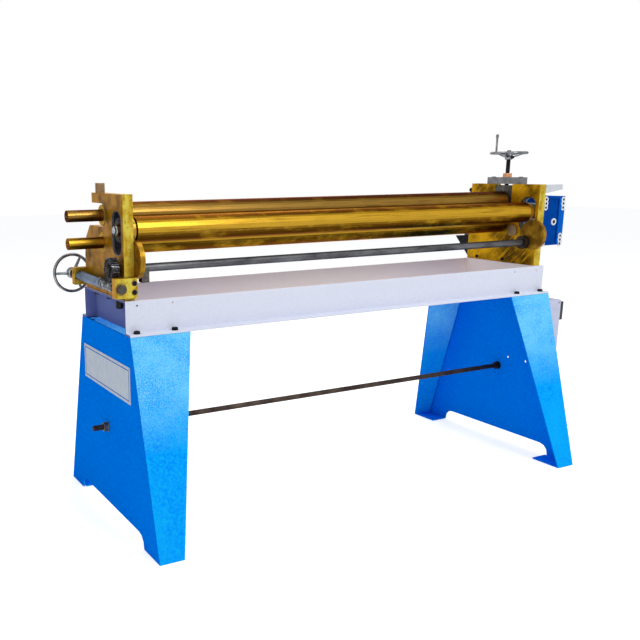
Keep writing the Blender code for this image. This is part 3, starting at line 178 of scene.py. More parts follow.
def build_reach_group():
    """Mask of what lies within a reach of a point, counted along the kept axes."""
    group, given, result = new_group(
        "within reach of a point",
        [("Point", "NodeSocketVector", (0, 0, 0)), ("Keep", "NodeSocketVector", (1, 1, 1)),
         ("Reach", "NodeSocketFloat", 0.02)],
        [("Mask", "NodeSocketFloat")])
    nodes, links = group.nodes, group.links
    where = nodes.new("ShaderNodeTexCoord")
    offset = nodes.new("ShaderNodeVectorMath")
    offset.operation = "SUBTRACT"
    kept = nodes.new("ShaderNodeVectorMath")
    kept.operation = "MULTIPLY"
    length = nodes.new("ShaderNodeVectorMath")
    length.operation = "LENGTH"
    inside = nodes.new("ShaderNodeMath")
    inside.operation = "LESS_THAN"
    links.new(where.outputs["Object"], offset.inputs[0])
    links.new(given.outputs["Point"], offset.inputs[1])
    links.new(offset.outputs["Vector"], kept.inputs[0])
    links.new(given.outputs["Keep"], kept.inputs[1])
    links.new(kept.outputs["Vector"], length.inputs[0])
    links.new(length.outputs["Value"], inside.inputs[0])
    links.new(given.outputs["Reach"], inside.inputs[1])
    links.new(inside.outputs[0], result.inputs["Mask"])
    return group


def build_rise_group():
    """Mask that grows with height between two levels."""
    group, given, result = new_group(
        "rise with height", [("Low", "NodeSocketFloat", 0.0), ("High", "NodeSocketFloat", 1.0)],
        [("Mask", "NodeSocketFloat")])
    nodes, links = group.nodes, group.links
    where = nodes.new("ShaderNodeTexCoord")
    parts = nodes.new("ShaderNodeSeparateXYZ")
    spread = nodes.new("ShaderNodeMapRange")
    links.new(where.outputs["Object"], parts.inputs[0])
    links.new(parts.outputs["Z"], spread.inputs["Value"])
    links.new(given.outputs["Low"], spread.inputs["From Min"])
    links.new(given.outputs["High"], spread.inputs["From Max"])
    links.new(spread.outputs["Result"], result.inputs["Mask"])
    return group


PATCHES = build_patch_group()
REACH = build_reach_group()
RISE = build_rise_group()
GRAIN = build_grain_group()
FACES = build_face_group()


class Finish:
    """One material under construction."""

    def __init__(self, name, metallic, roughness):
        self.material = bpy.data.materials.new(name)
        self.material.use_nodes = True
        self.nodes = self.material.node_tree.nodes
        self.links = self.material.node_tree.links
        self.shader = self.nodes["Principled BSDF"]
        self.shader.inputs["Metallic"].default_value = metallic
        self.shader.inputs["Roughness"].default_value = roughness

    def facing(self, way, low=0.6, high=0.9):
        return self.group(FACES, "Mask", Way=way, Low=low, High=high)

    def rise(self, low, high):
        """Low and high are heights above the floor in millimetres."""
        return self.group(RISE, "Mask", Low=low * MM, High=high * MM)

    def tint(self, colour, gain):
        """Keeps reflections at a flat angle in the metal's own colour."""
        self.shader.inputs["Specular Tint"].default_value = (*(min(1, gain * part) for part in colour), 1)

    def reach(self, point, keep, distance):
        """Point and distance are in the part's millimetres."""
        return self.group(REACH, "Mask", Point=place(*point), Keep=keep, Reach=distance * MM)

    def group(self, tree, output, **values):
        node = self.nodes.new("ShaderNodeGroup")
        node.node_tree = tree
        for key, value in values.items():
            node.inputs[key].default_value = value
        return node.outputs[output]

    def patches(self, scale, stretch=(1, 1, 1), low=0.35, high=0.65, turn=(0, 0, 0)):
        return self.group(PATCHES, "Mask", Scale=scale, Stretch=stretch, Low=low, High=high, Turn=turn)

    def blend(self, mask, first, second):
        node = self.nodes.new("ShaderNodeMix")
        node.data_type = "RGBA"
        self.links.new(mask, node.inputs[0])
        for socket, colour in ((node.inputs[6], first), (node.inputs[7], second)):
            if isinstance(colour, tuple):
                socket.default_value = (*colour, 1.0)
            else:
                self.links.new(colour, socket)
        return node.outputs[2]

    def colour(self, output):
        self.links.new(output, self.shader.inputs["Base Color"])

    def roughness(self, mask, low, high):
        node = self.nodes.new("ShaderNodeMapRange")
        node.inputs["To Min"].default_value = low
        node.inputs["To Max"].default_value = high
        self.links.new(mask, node.inputs["Value"])
        self.links.new(node.outputs["Result"], self.shader.inputs["Roughness"])

    def bump(self, scale, depth, stretch=(1, 1, 1)):
        node = self.nodes.new("ShaderNodeBump")
        node.inputs["Strength"].default_value = 1.0
        node.inputs["Distance"].default_value = depth
        self.links.new(self.group(GRAIN, "Height", Scale=scale, Stretch=stretch), node.inputs["Height"])
        self.links.new(node.outputs["Normal"], self.shader.inputs["Normal"])


def stained_steel(name, dark, light, stain, front):
    """Frame plate: yellow film in soft blotches, slanted scratches, front edges paler by painted highlight
    with rubbed and stained patches, painted shade on the left frame and in the slots.
    """
    finish = Finish(name, 0.45, 0.4)
    blotches = finish.patches(22, (1, 1, 1), 0.32, 0.58)
    stains = finish.patches(9, (1, 1, 1), 0.5, 0.66)
    scratches = finish.patches(260, (1, 0.06, 1), 0.55, 0.68, (0.8, 0, 0))
    tone = finish.blend(blotches, dark, light)
    tone = finish.blend(stains, tone, stain)
    tone = finish.blend(scratches, tone, tuple(1.25 * part for part in light))
    # Painted shade over the outer part of the left frame, laid on in stain-coloured blotches
    worn = finish.blend(blotches, stain, tuple(0.62 * part for part in light))
    tone = finish.blend(finish.reach((-FRAME_OUTER, 0, 0), (1, 0, 0), 20), tone, worn)
    # Front edges paler by painted highlight, with rubbed and stained patches
    rubbed = tuple(0.6 * part for part in light)
    edge = finish.blend(finish.patches(55, (1, 1, 0.6), 0.42, 0.66), front, rubbed)
    edge = finish.blend(finish.patches(140, (1, 1, 1), 0.6, 0.72), edge, stain)
    plain = finish.blend(finish.facing((0, -1, 0)), tone, edge)
    # Painted shade on the inner walls of the roll slots
    slot = finish.reach((0, sum(SLOT_Y) / 2, sum(SLOT_Z) / 2), (0, 1, 0.55), 38.5)
    walls = finish.blend(slot, plain, SLOT_SHADE)
    for way in ((1, 0, 0), (-1, 0, 0)):
        walls = finish.blend(finish.facing(way), walls, tone)
    finish.colour(walls)
    finish.tint(light, 1.2)
    finish.shader.inputs["Specular IOR Level"].default_value = 0.2
    finish.roughness(blotches, 0.44, 0.3)
    finish.bump(350, 0.0002)
    return finish.material


def cam_steel(name, dark, light, hub, hub_radius):
    """Golden brown cam with a darker hub round the cross shaft."""
    finish = Finish(name, 0.7, 0.36)
    film = finish.patches(45, (1, 1, 1), 0.36, 0.66)
    tone = finish.blend(film, dark, light)
    finish.colour(finish.blend(finish.reach((0, *SHAFT_AXIS), (0, 1, 1), hub_radius), tone, hub))
    finish.tint(light, 1.5)
    finish.roughness(film, 0.42, 0.3)
    finish.bump(600, 0.00008)
    return finish.material


def block_steel(name, block, light, ring, half_length):
    """Dark block whose round inner ring carries the same gold film as the roll."""
    finish = Finish(name, 0.75, 0.36)
    film = finish.patches(60, (1, 1, 1), 0.36, 0.66)
    outer = finish.blend(film, block, light)
    finish.colour(finish.blend(finish.reach((0, 0, 0), (1, 0, 0), half_length), outer, ring))
    finish.roughness(film, 0.42, 0.3)
    finish.bump(600, 0.00006)
    return finish.material


def roll_steel(name, dark, light):
    finish = Finish(name, 0.92, 0.3)
    film = finish.patches(4, (0.4, 3, 3), 0.35, 0.7)
    blots = finish.patches(26, (0.5, 1, 1), 0.5, 0.78)
    scratches = finish.patches(260, (0.03, 1, 1), 0.55, 0.75)
    tone = finish.blend(film, tuple(0.75 * part for part in dark), dark)
    painted_highlight = finish.blend(film, tuple(0.8 * part for part in light), light)
    # Painted highlight: light gold on faces that look forward or back and a little up; the dark gold
    # elsewhere is painted shade
    for way in ((0, -0.965, 0.26), (0, 0.9, 0.44)):
        tone = finish.blend(finish.facing(way, 0.82, 0.985), tone, painted_highlight)
    tone = finish.blend(blots, tone, tuple(0.7 * part for part in light))
    finish.colour(finish.blend(scratches, tone, tuple(0.6 * part for part in dark)))
    finish.tint(light, 1.6)
    finish.roughness(film, 0.36, 0.24)
    finish.bump(900, 0.00003, (0.02, 1, 1))
    return finish.material


def machined(name, dark, light, roughness=0.3, metallic=0.95, scale=60.0, stretch=(1, 1, 1)):
    finish = Finish(name, metallic, roughness)
    marks = finish.patches(scale, stretch, 0.35, 0.7)
    finish.colour(finish.blend(marks, dark, light))
    finish.tint(light, 1.5)
    finish.roughness(marks, roughness + 0.1, roughness)
    finish.bump(700, 0.00005)
    return finish.material


def sprayed(name, dark, light, roughness, grain, depth, scale=45.0, ahead=None, inside=None):
    """Sprayed paint with soft mottling and an orange peel surface.

    Ahead is the lighter colour of the legs' front faces, painted light, speckled with painted highlight
    towards the top; inside is the warm painted reflection of the rolls on the bed's inner walls and top
    edges.
    """
    finish = Finish(name, 0.0, roughness)
    finish.shader.inputs["Specular IOR Level"].default_value = 0.0
    mottle = finish.patches(scale, (1, 1, 1), 0.38, 0.64)
    cloud = finish.patches(5, (1, 1, 1), 0.3, 0.75)
    mid = tuple((a + b) / 2 for a, b in zip(dark, light))
    tone = finish.blend(mottle, finish.blend(cloud, dark, mid), light)
    if ahead:
        # The legs' front faces are lighter by painted light, with lighter patches and specks growing towards
        # the top as painted highlight
        speckle = finish.patches(420, (1, 1, 1), 0.46, 0.6)
        front = finish.blend(mottle, finish.blend(cloud, light, ahead), ahead)
        painted_highlight = finish.blend(finish.patches(9, (1, 1, 1.4), 0.4, 0.6), front, AZURE_HIGHLIGHT_PATCH)
        painted_highlight = finish.blend(speckle, painted_highlight, AZURE_HIGHLIGHT_SPECK)
        painted_highlight = finish.blend(finish.rise(240, 380), front, painted_highlight)
        tone = finish.blend(finish.facing((0, -1, 0)), tone, painted_highlight)
        # Painted shade on the top faces of the legs
        shade = finish.blend(finish.rise(400, 420), tone, FLANGE_SHADE)
        tone = finish.blend(finish.facing((0, 0, 1)), tone, shade)
    if inside:
        # The rear panel, then both end plates, then the top edges: the warm colour is painted reflection of
        # the gold rolls
        rear = finish.blend(finish.reach((0, 200, 0), (0, 1, 0), 100), tone, inside)
        # Painted shade at the bed's open left end
        rear = finish.blend(finish.reach((-BED_END, 20, 0), (0.7, 0.2, 0), 31.5), rear, LEFT_SHADE)
        ends = finish.blend(finish.reach((-BED_END, 0, 0), (1, 0, 0), 40), tone, LEFT_SHADE)
        ends = finish.blend(finish.reach((648, 0, 0), (1, 0, 0), 60), ends, inside)
        tone = finish.blend(finish.facing((0, -1, 0)), tone, rear)
        painted_reflection_top = finish.blend(finish.reach((0, 0, BED_TOP), (0, 0, 1), 20), tone, inside)
        tone = finish.blend(finish.facing((0, 0, 1)), tone, painted_reflection_top)
        tone = finish.blend(finish.facing((-1, 0, 0)), tone, ends)
    finish.colour(tone)
    finish.roughness(cloud, roughness + 0.06, roughness - 0.04)
    finish.bump(grain, depth)
    return finish.material


LOOKS = {
    "frame": stained_steel("stained yellow steel", (0.20, 0.095, 0.003), (0.66, 0.35, 0.008),
                           (0.095, 0.047, 0.003), (0.62, 0.51, 0.07)),
    "cam": cam_steel("brown cam steel", (0.13, 0.07, 0.008), (0.38, 0.21, 0.018), (0.04, 0.033, 0.028), 20.5),
    "block": block_steel("dark block steel", (0.03, 0.032, 0.04), (0.10, 0.10, 0.115), (0.36, 0.19, 0.015),
                         FRAME_INNER + 0.5),
    "roll": roll_steel("gold roll film", (0.085, 0.036, 0.003), (0.60, 0.345, 0.03)),
    "top_roll": roll_steel("darker roll film", (0.075, 0.036, 0.008), (0.30, 0.17, 0.035)),
    # The legs' last colour is the painted light of their front faces
    "leg": sprayed("azure hammertone", (0.0, 0.17, 0.88), (0.0, 0.26, 1.0), 0.42, 420, 0.0004, 150.0,
                   (0.005, 0.45, 1.0)),
    # The bed's inside colour is painted warm reflection of the rolls
    "bed": sprayed("pale lavender paint", (0.70, 0.73, 0.85), (0.74, 0.77, 0.88), 0.42, 500, 0.0002, 160.0,
                   inside=(0.95, 0.83, 0.79)),
    "box": sprayed("pale box paint", (0.58, 0.60, 0.76), (0.66, 0.67, 0.80), 0.45, 500, 0.0002),
    "gearbox": sprayed("gearbox enamel", (0.0, 0.045, 0.28), (0.003, 0.07, 0.38), 0.36, 400, 0.0003),
    # Lighter blue for a painted highlight
    "painted_highlight_blue": sprayed("light blue enamel", (0.003, 0.10, 0.52), (0.006, 0.14, 0.62), 0.36, 400, 0.0003),
    "white": sprayed("white bracket paint", (0.56, 0.58, 0.62), (0.64, 0.66, 0.70), 0.45, 500, 0.0002),
    "lug": sprayed("white lug paint", (0.74, 0.77, 0.83), (0.82, 0.84, 0.88), 0.42, 500, 0.0002),
    "plate": sprayed("bare plate film", (0.58, 0.65, 0.74), (0.66, 0.72, 0.80), 0.4, 500, 0.00005),
    "line": sprayed("plate border", (0.02, 0.10, 0.45), (0.03, 0.14, 0.52), 0.4, 500, 0.00005),
    "black": machined("blackened steel", (0.012, 0.012, 0.014), (0.03, 0.03, 0.034), 0.42, 0.6),
    "brown": machined("browned rod", (0.035, 0.025, 0.022), (0.09, 0.065, 0.05), 0.45, 0.6, 30.0),
    "pin": machined("browned pin", (0.22, 0.14, 0.07), (0.38, 0.27, 0.16), 0.45, 0.6, 30.0),
    "shaft": machined("dark bar steel", (0.05, 0.05, 0.055), (0.16, 0.16, 0.17), 0.4, 0.8, 40.0, (0.3, 1, 1)),
    "dark": machined("dark machined steel", (0.05, 0.045, 0.04), (0.13, 0.12, 0.11), 0.4, 0.8),
    "grey": machined("grey bar steel", (0.16, 0.16, 0.165), (0.27, 0.27, 0.28), 0.45, 0.75, 50.0),
    "sleeve": machined("dark slate sleeve", (0.11, 0.13, 0.165), (0.30, 0.34, 0.41), 0.22, 1.0, 26.0,
                       (1, 0.3, 1)),
    "bright": machined("bright turned steel", (0.34, 0.35, 0.37), (0.52, 0.53, 0.55), 0.24),
    "nut": machined("worn nut steel", (0.05, 0.045, 0.04), (0.30, 0.26, 0.23), 0.34, 0.8, 70.0),
    "greasy": machined("greasy wheel steel", (0.01, 0.01, 0.012), (0.15, 0.15, 0.16), 0.3, 0.9, 170.0),
    "worm": machined("greasy worm steel", (0.02, 0.02, 0.022), (0.42, 0.43, 0.45), 0.3, 0.9, 110.0),
    "chrome": machined("chrome plate", (0.12, 0.125, 0.135), (0.32, 0.33, 0.34), 0.12),
    "copper": machined("copper nut", (0.50, 0.24, 0.13), (0.66, 0.36, 0.22), 0.3),
    "bronze": machined("bearing bronze", (0.36, 0.23, 0.07), (0.50, 0.34, 0.12), 0.36),
    "plastic": machined("dark grey plastic", (0.05, 0.055, 0.06), (0.075, 0.08, 0.085), 0.5, 0.0),
    "green": machined("green button", (0.01, 0.28, 0.05), (0.02, 0.34, 0.07), 0.35, 0.0),
    "red": machined("red button", (0.50, 0.01, 0.01), (0.58, 0.02, 0.015), 0.35, 0.0),
}

NODE_LOOKS = {
    "frame": ("left_frame", "right_frame", "front_worm_block", "rear_worm_block"),
    "cam": ("left_lift_cam", "right_lift_cam"),
    "roll": ("lower_roll", "bending_roll"),
    "top_roll": ("upper_roll",),
    "block": ("left_bending_block", "right_bending_block"),
    "leg": ("left_leg", "right_leg"),
    "bed": ("bed",),
    "white": ("side_bracket",),
    "box": ("control_box", "control_cover"),
    "gearbox": ("gearbox_housing", "gearbox_cover", "spacer_flange", "motor_housing"),
    "plate": ("name_plate",),
    "black": ("adjusting_screw", "block_lock_bolt", "rear_gusset",
              "left_tie_rod_inner_nut", "right_tie_rod_inner_nut"),
    "nut": ("left_tie_rod_outer_nut", "right_tie_rod_outer_nut"),
    "brown": ("tie_rod",),
    "pin": ("locking_pin", "keeper_plate"),
    "shaft": ("cross_shaft",),
    "dark": ("upper_block", "shaft_stop"),
    "grey": ("cap_bar", "motor_shaft"),
    "sleeve": ("spacer_sleeve",),
    "worm": ("worm_shaft",),
    "greasy": ("worm_wheel",),
    "bright": ("left_roll_bolt", "right_roll_bolt"),
    "chrome": ("side_handwheel", "top_handwheel", "crank_handle"),
    "copper": ("screw_nut",),
    "bronze": ("left_roll_bush", "right_roll_bush", "left_shaft_bush", "right_shaft_bush", "mouth_bush",
               "swivel_bush", "drive_wheel"),
    "plastic": ("switch_housing", "fan_cover", "fan"),
    "green": ("start_button",),
    "red": ("stop_button",),
}


def dress_nodes():
    """Each node of the part gets its finish, welded seams and softened edges."""
    for look, names in NODE_LOOKS.items():
        for name in names:
            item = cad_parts[name]
            item.data.materials.clear()
            item.data.materials.append(LOOKS[look])
            weld = item.modifiers.new("weld", "WELD")
            weld.merge_threshold = 0.00001
            edge = item.modifiers.new("edge", "BEVEL")
            edge.width = NODE_EDGE * MM
            edge.segments = 2
            edge.limit_method = "ANGLE"
            edge.angle_limit = EDGE_ANGLE


# Meshes of the added pieces, in the part's millimetres
def along(axis, position, across, up):
    if axis == "x":
        return (position, across, up)
    if axis == "y":
        return (across, position, up)
    return (across, up, position)


def ring_radius(radius, sides, angle):
    if sides == 0:
        return radius
    sector = 2 * math.pi / sides
    return radius / math.cos((angle + sector / 2) % sector - sector / 2)


def turned(rings, axis, centre, steps=48, closed=False):
    """Rings are (position, radius) or (position, inner radius, sides)."""
    points, faces = [], []
    for ring in rings:
        sides = ring[2] if len(ring) > 2 else 0
        for step in range(steps):
            angle = 2 * math.pi * step / steps
            radius = ring_radius(ring[1], sides, angle)
            points.append(along(axis, ring[0], centre[0] + radius * math.cos(angle),
                                centre[1] + radius * math.sin(angle)))
    rows = len(rings) if closed else len(rings) - 1
    for row in range(rows):
        here, there = row * steps, (row + 1) % len(rings) * steps
        for step in range(steps):
            after = (step + 1) % steps
            faces.append((here + step, here + after, there + after, there + step))
    if not closed:
        faces.append(tuple(range(steps)))
        faces.append(tuple(range(len(points) - 1, len(points) - steps - 1, -1)))
    return points, faces


def outline_block(outline, axis, low, high):
    count = len(outline)
    points = [along(axis, low, a, b) for a, b in outline] + [along(axis, high, a, b) for a, b in outline]
    faces = [tuple(range(count)), tuple(range(2 * count - 1, count - 1, -1))]
    for index in range(count):
        after = (index + 1) % count
        faces.append((index, after, count + after, count + index))
    return points, faces


def rounded(x, z, radius, steps=6):
    """Outline of a rounded rectangle; x and z are its limits across and up."""
    outline = []
    corners = ((x[1] - radius, z[1] - radius, 0), (x[0] + radius, z[1] - radius, 90),
               (x[0] + radius, z[0] + radius, 180), (x[1] - radius, z[0] + radius, 270))
    for centre_x, centre_z, start in corners:
        for step in range(steps + 1):
            angle = math.radians(start + 90 * step / steps)
            outline.append((centre_x + radius * math.cos(angle), centre_z + radius * math.sin(angle)))
    return outline


def hex_bolt(seat, way, head, half_width, shank, length, axis, centre, washer=0.0):
    rings = [(seat + way * head, half_width * 0.6), (seat + way * head, half_width * 0.92),
             (seat + way * head * 0.86, half_width, 6), (seat + way * 1.8, half_width, 6)]
    if washer:
        rings += [(seat + way * 1.8, washer), (seat, washer)]
    else:
        rings += [(seat, half_width, 6)]
    rings += [(seat, shank), (seat - way * length, shank)]
    return turned(rings, axis, centre, 24)


def socket_screw(seat, way, head, radius, shank, length, axis, centre):
    top = seat + way * head
    rings = [(top - way * head * 0.6, radius * 0.45, 6), (top, radius * 0.5, 6), (top, radius * 0.9),
             (top - way * 0.5, radius), (seat, radius), (seat, shank), (seat - way * length, shank)]
    return turned(rings, axis, centre, 24)


def sweep(path, radii, steps=12):
    """Round bar through points with a radius at each."""
    points, faces = [], []
    for index, here in enumerate(path):
        before = Vector(path[max(index - 1, 0)])
        after = Vector(path[min(index + 1, len(path) - 1)])
        way = (after - before).normalized()
        side = way.cross(Vector((0.3, 0.2, 0.93))).normalized()
        other = way.cross(side)
        for step in range(steps):
            angle = 2 * math.pi * step / steps
            point = Vector(here) + radii[index] * (math.cos(angle) * side + math.sin(angle) * other)
            points.append(tuple(point))
    for row in range(len(path) - 1):
        for step in range(steps):
            after = (step + 1) % steps
            faces.append((row * steps + step, row * steps + after, (row + 1) * steps + after,
                          (row + 1) * steps + step))
    faces.append(tuple(range(steps)))
    faces.append(tuple(range(len(points) - 1, len(points) - steps - 1, -1)))
    return points, faces


def make_piece(name, look, body, solids, replaced=(), edge=0.3):
    mesh = bpy.data.meshes.new(name)
    points, faces = [], []
    for solid in solids:
        shift = len(points)
        points.extend(place(*point) for point in solid[0])
        faces.extend(tuple(index + shift for index in face) for face in solid[1])
    mesh.from_pydata(points, [], faces)
    work = bmesh.new()
    work.from_mesh(mesh)
    bmesh.ops.recalc_face_normals(work, faces=work.faces)
    work.to_mesh(mesh)
    work.free()
    mesh.shade_smooth()
    mesh.set_sharp_from_angle(angle=math.radians(35))
    mesh.materials.append(LOOKS[look])
    item = bpy.data.objects.new(name, mesh)
    bpy.context.collection.objects.link(item)
    if edge:
        bevel = item.modifiers.new("edge", "BEVEL")
        bevel.width = edge * MM
        bevel.segments = 2
        bevel.limit_method = "ANGLE"
        bevel.angle_limit = EDGE_ANGLE
    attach(item, body)
    if replaced:
        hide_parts(*replaced)


def fasten_stand():
    bolts, nuts, frame_bolts = [], [], []
    for side in (-1, 1):
        for x in FLANGE_BOLT_X:
            for y in (-FLANGE_BOLT_Y, FLANGE_BOLT_Y):
                bolts.append(hex_bolt(FLANGE_TOP, 1, 6.5, 6.5, 4, 20, "z", (side * x, y), 8))
                rings = [(LEG_TAB_UNDER, 6.5, 6), (LEG_TAB_UNDER - 6, 6.5, 6), (LEG_TAB_UNDER - 6, 4.3),
                         (LEG_TAB_UNDER, 4.3)]
                nuts.append(turned(rings, "z", (side * x, y), 24, closed=True))
        for y in FRAME_BOLT_Y:
            head = 24 if y < 0 else 9
            frame_bolts.append(hex_bolt(BED_UNDER, -1, head, 8, 5, 18, "z", (side * FRAME_MIDDLE, y), 10))
    foot_bolts = [hex_bolt(FRAME_INNER - 0.1, -1, 4.5, 4.5, 2.5, 4, "x", (y, 591)) for y in (97, -8)]
    make_piece("foot_bolts", "black", "base", foot_bolts)
    make_piece("bed_bolts", "black", "base", bolts)
    make_piece("bed_nuts", "black", "base", nuts)
    make_piece("frame_bolts", "black", "base", frame_bolts)


def fasten_cap():
    """Low head screws that hold the cap bar over the adjusting slot."""
    screws = [socket_screw(CAP_TOP + 0.2, 1, 1.4, 6.6, 3.6, 30, "z", (FRAME_MIDDLE, y)) for y in CAP_SCREW_Y]
    make_piece("cap_screws", "black", "base", screws)


def trim_name_plate():
    """The bare plate carries only a border line and two rivets at each end."""
    face, border, width = -681.3, 7, 2.2
    y, z = (-160, 157), (340, 430)
    strips = []
    for low_y, high_y, low_z, high_z in (
            (y[0] + border, y[1] - border, z[0] + border, z[0] + border + width),
            (y[0] + border, y[1] - border, z[1] - border - width, z[1] - border),
            (y[0] + border, y[0] + border + width, z[0] + border, z[1] - border),
            (y[1] - border - width, y[1] - border, z[0] + border, z[1] - border)):
        line = rounded((low_y, high_y), (low_z, high_z), 0.9, 2)
        strips.append(outline_block(line, "x", face - 0.15, face))
    make_piece("plate_border", "line", "base", strips, edge=0)
    rivets = []
    for rivet_y in (y[0] + 3.8, y[1] - 3.8):
        for rivet_z in (z[0] + 4, z[1] - 4):
            rings = [(face, 2.4), (face - 0.9, 2.0), (face - 1.3, 1.0)]
            rivets.append(turned(rings, "x", (rivet_y, rivet_z), 16))
    make_piece("plate_rivets", "bright", "base", rivets, edge=0)


def detail_worm_end():
    """Socket screws of both worm blocks, the turned cap on the shaft's front end and the wheel's bolt."""
    screws = []
    front_heights = (624, 603)
    for face, way, heights in ((WORM_BLOCK_FRONT - 0.5, -1, front_heights), (160.5, 1, (621, 599))):
        for height in heights:
            screws.append(socket_screw(face, way, 3.2, 5.4, 3, 2, "y", (WORM_SCREW_X, height)))
    make_piece("worm_block_screws", "black", "base", screws)
    back = WORM_BLOCK_FRONT + 0.3
    front = WORM_BLOCK_FRONT - 1.2
    rings = [(back, 5.6), (front, 5.6), (front, 6.6), (back, 7.0)]
    rims = [turned(rings, "y", (WORM_SCREW_X, height), 32, closed=True) for height in front_heights]
    front = WORM_BLOCK_FRONT - 1.4
    rings = [(back, 12.6), (front, 12.6), (front, 13.6), (back, 14.2)]
    rims.append(turned(rings, "y", WORM_AXIS, 48, closed=True))
    make_piece("worm_block_rims", "pin", "base", rims, edge=0)
    rings = [(-156.0, 2.2), (-157.6, 2.8), (-157.6, 4.4), (-156.4, 4.9), (-156.4, 5.8), (-157.8, 6.3),
             (-157.8, 8.2), (-156.4, 8.7), (-156.4, 9.5), (-157.4, 10), (-157.4, 10.8), (-152, 10.8),
             (-152, 8.6), (-149, 8.6)]
    make_piece("worm_end_cap", "dark", "worm_body", [turned(rings, "y", WORM_AXIS)])
    rings = []
    for start in (-30.5, -26.0, -21.5):
        rings += [(start, 13.0), (start + 0.4, 13.6), (start + 3.0, 13.6), (start + 3.4, 13.0),
                  (start + 3.4, 12.3)]
    rings += [(-17.2, 12.05), (-30.5, 12.05)]
    make_piece("sleeve_collars", "sleeve", "worm_body", [turned(rings, "y", WORM_AXIS, 48, closed=True)])
    bolt = hex_bolt(-703.4, -1, 7, 7, 4, 12, "x", SHAFT_AXIS, 13)
    make_piece("worm_wheel_bolt", "dark", "cross_shaft_body", [bolt])


def loop_tube(outer, inner, low, high):
    """Thin wall between two outlines seen along x."""
    loops = [[(x, y, z) for y, z in outline] for outline, x in
             ((outer, low), (outer, high), (inner, high), (inner, low))]
    count = len(outer)
    points = [point for loop in loops for point in loop]
    faces = []
    for row in range(4):
        here, there = row * count, (row + 1) % 4 * count
        for step in range(count):
            after = (step + 1) % count
            faces.append((here + step, here + after, there + after, there + step))
    return points, faces


def detail_roll_slots():
    """Thin steel lips inside both frame slots and a dished ring on each sliding block."""
    lips = []
    for hand, side in (("left", -1), ("right", 1)):
        walls = []
        for inset in (0.1, 1.1):
            width = (SLOT_Y[0] + inset, SLOT_Y[1] - inset)
            height = (SLOT_Z[0] + inset, SLOT_Z[1] - inset)
            walls.append(rounded(width, height, SLOT_CORNER - inset, 10))
        lips.append(loop_tube(*walls, side * (FRAME_OUTER - 4.5), side * (FRAME_OUTER + 0.7)))
        dish = [(670.05, 25.4), (671.5, 25.4), (672.0, 24.9), (672.0, 24.0), (671.4, 22.8), (670.3, 15),
                (670.05, 15)]
        ring = turned([(side * depth, radius) for depth, radius in dish], "x", BENDING_AXIS, 48, closed=True)
        make_piece(hand + "_block_dish", "dark", "bending_carriage", [ring], edge=0)
    make_piece("slot_lips", "grey", "base", lips, edge=0)


def make_handwheel(name, body, axis, position, centre, hub, rim, spokes, turn, replaced):
    """Bright handwheel: turned hub, round rim and three tapered spokes."""
    rim_rings = []
    for step in range(16):
        angle = 2 * math.pi * step / 16
        rim_rings.append((position + rim[1] * math.cos(angle), rim[0] + rim[1] * math.sin(angle)))
    solids = [turned(rim_rings, axis, centre, 72, closed=True), turned(hub, axis, centre, 48, closed=True)]
    for spoke in range(3):
        angle = math.radians(turn + 120 * spoke)
        path, radii = [], []
        for step in range(7):
            share = step / 6
            radius = spokes[0][1] + (spokes[1][1] - spokes[0][1]) * share
            bend = (1 - math.cos(math.pi * share)) / 2
            spot = spokes[0][0] + (spokes[1][0] - spokes[0][0]) * bend
            path.append(along(axis, spot, centre[0] + radius * math.cos(angle),
                              centre[1] + radius * math.sin(angle)))
            radii.append(4.6 - 1.4 * share)
        solids.append(sweep(path, radii, 14))
    make_piece(name, "chrome", body, solids, replaced, edge=0)


def make_handwheels():
    hub = [(184, 12), (186, 14.5), (194, 15), (205, 15), (210, 13.5), (212, 12), (212, 8.4), (184, 8.4)]
    make_handwheel("side_wheel", "worm_body", "y", 200, WORM_AXIS, hub, (48.4, 4.2),
                   ((196, 12), (200, 47)), 60, ("side_handwheel",))
    hub = [(895, 9.5), (896, 11), (909, 11.5), (913, 10), (914, 8.5), (914, 6.4), (895, 6.4)]
    make_handwheel("top_wheel", "screw_body", "z", 915, SCREW_AXIS, hub, (51.8, 4.2),
                   ((905, 8), (914.5, 49)), 90, ("top_handwheel",))
    screw = socket_screw(-2.2, -1, 6, 4.2, 2.4, 6, "y", (FRAME_MIDDLE, 902))
    make_piece("hub_set_screw", "black", "screw_body", [screw])
    thread = []
    for step in range(22):
        low = 857.6 + 1.5 * step
        thread += [(low, 5.7), (low + 0.4, 6.15), (low + 0.8, 6.15), (low + 1.3, 5.7)]
    thread = [(857.2, 5.9)] + thread + [(892, 5.9)]
    inner = [(892, 5.2), (857.2, 5.2)]
    solid = turned(thread + inner, "z", SCREW_AXIS, 32, closed=True)
    make_piece("screw_thread", "black", "screw_body", [solid], edge=0)


def scallops(x, z, radius, pitch, steps=10):
    """Outline of three round bosses in a column that run into each other."""
    waist = math.degrees(math.asin(pitch / 2 / radius))
    parts = ((-pitch, -180 + waist, waist), (0, -waist, waist), (pitch, -waist, 180 + waist),
             (0, 180 - waist, 180 + waist))
    outline = []
    for shift, start, stop in parts:
        for step in range(steps + 1):
            angle = math.radians(start + (stop - start) * step / steps)
            outline.append((x + radius * math.cos(angle), z + shift + radius * math.sin(angle)))
    return outline


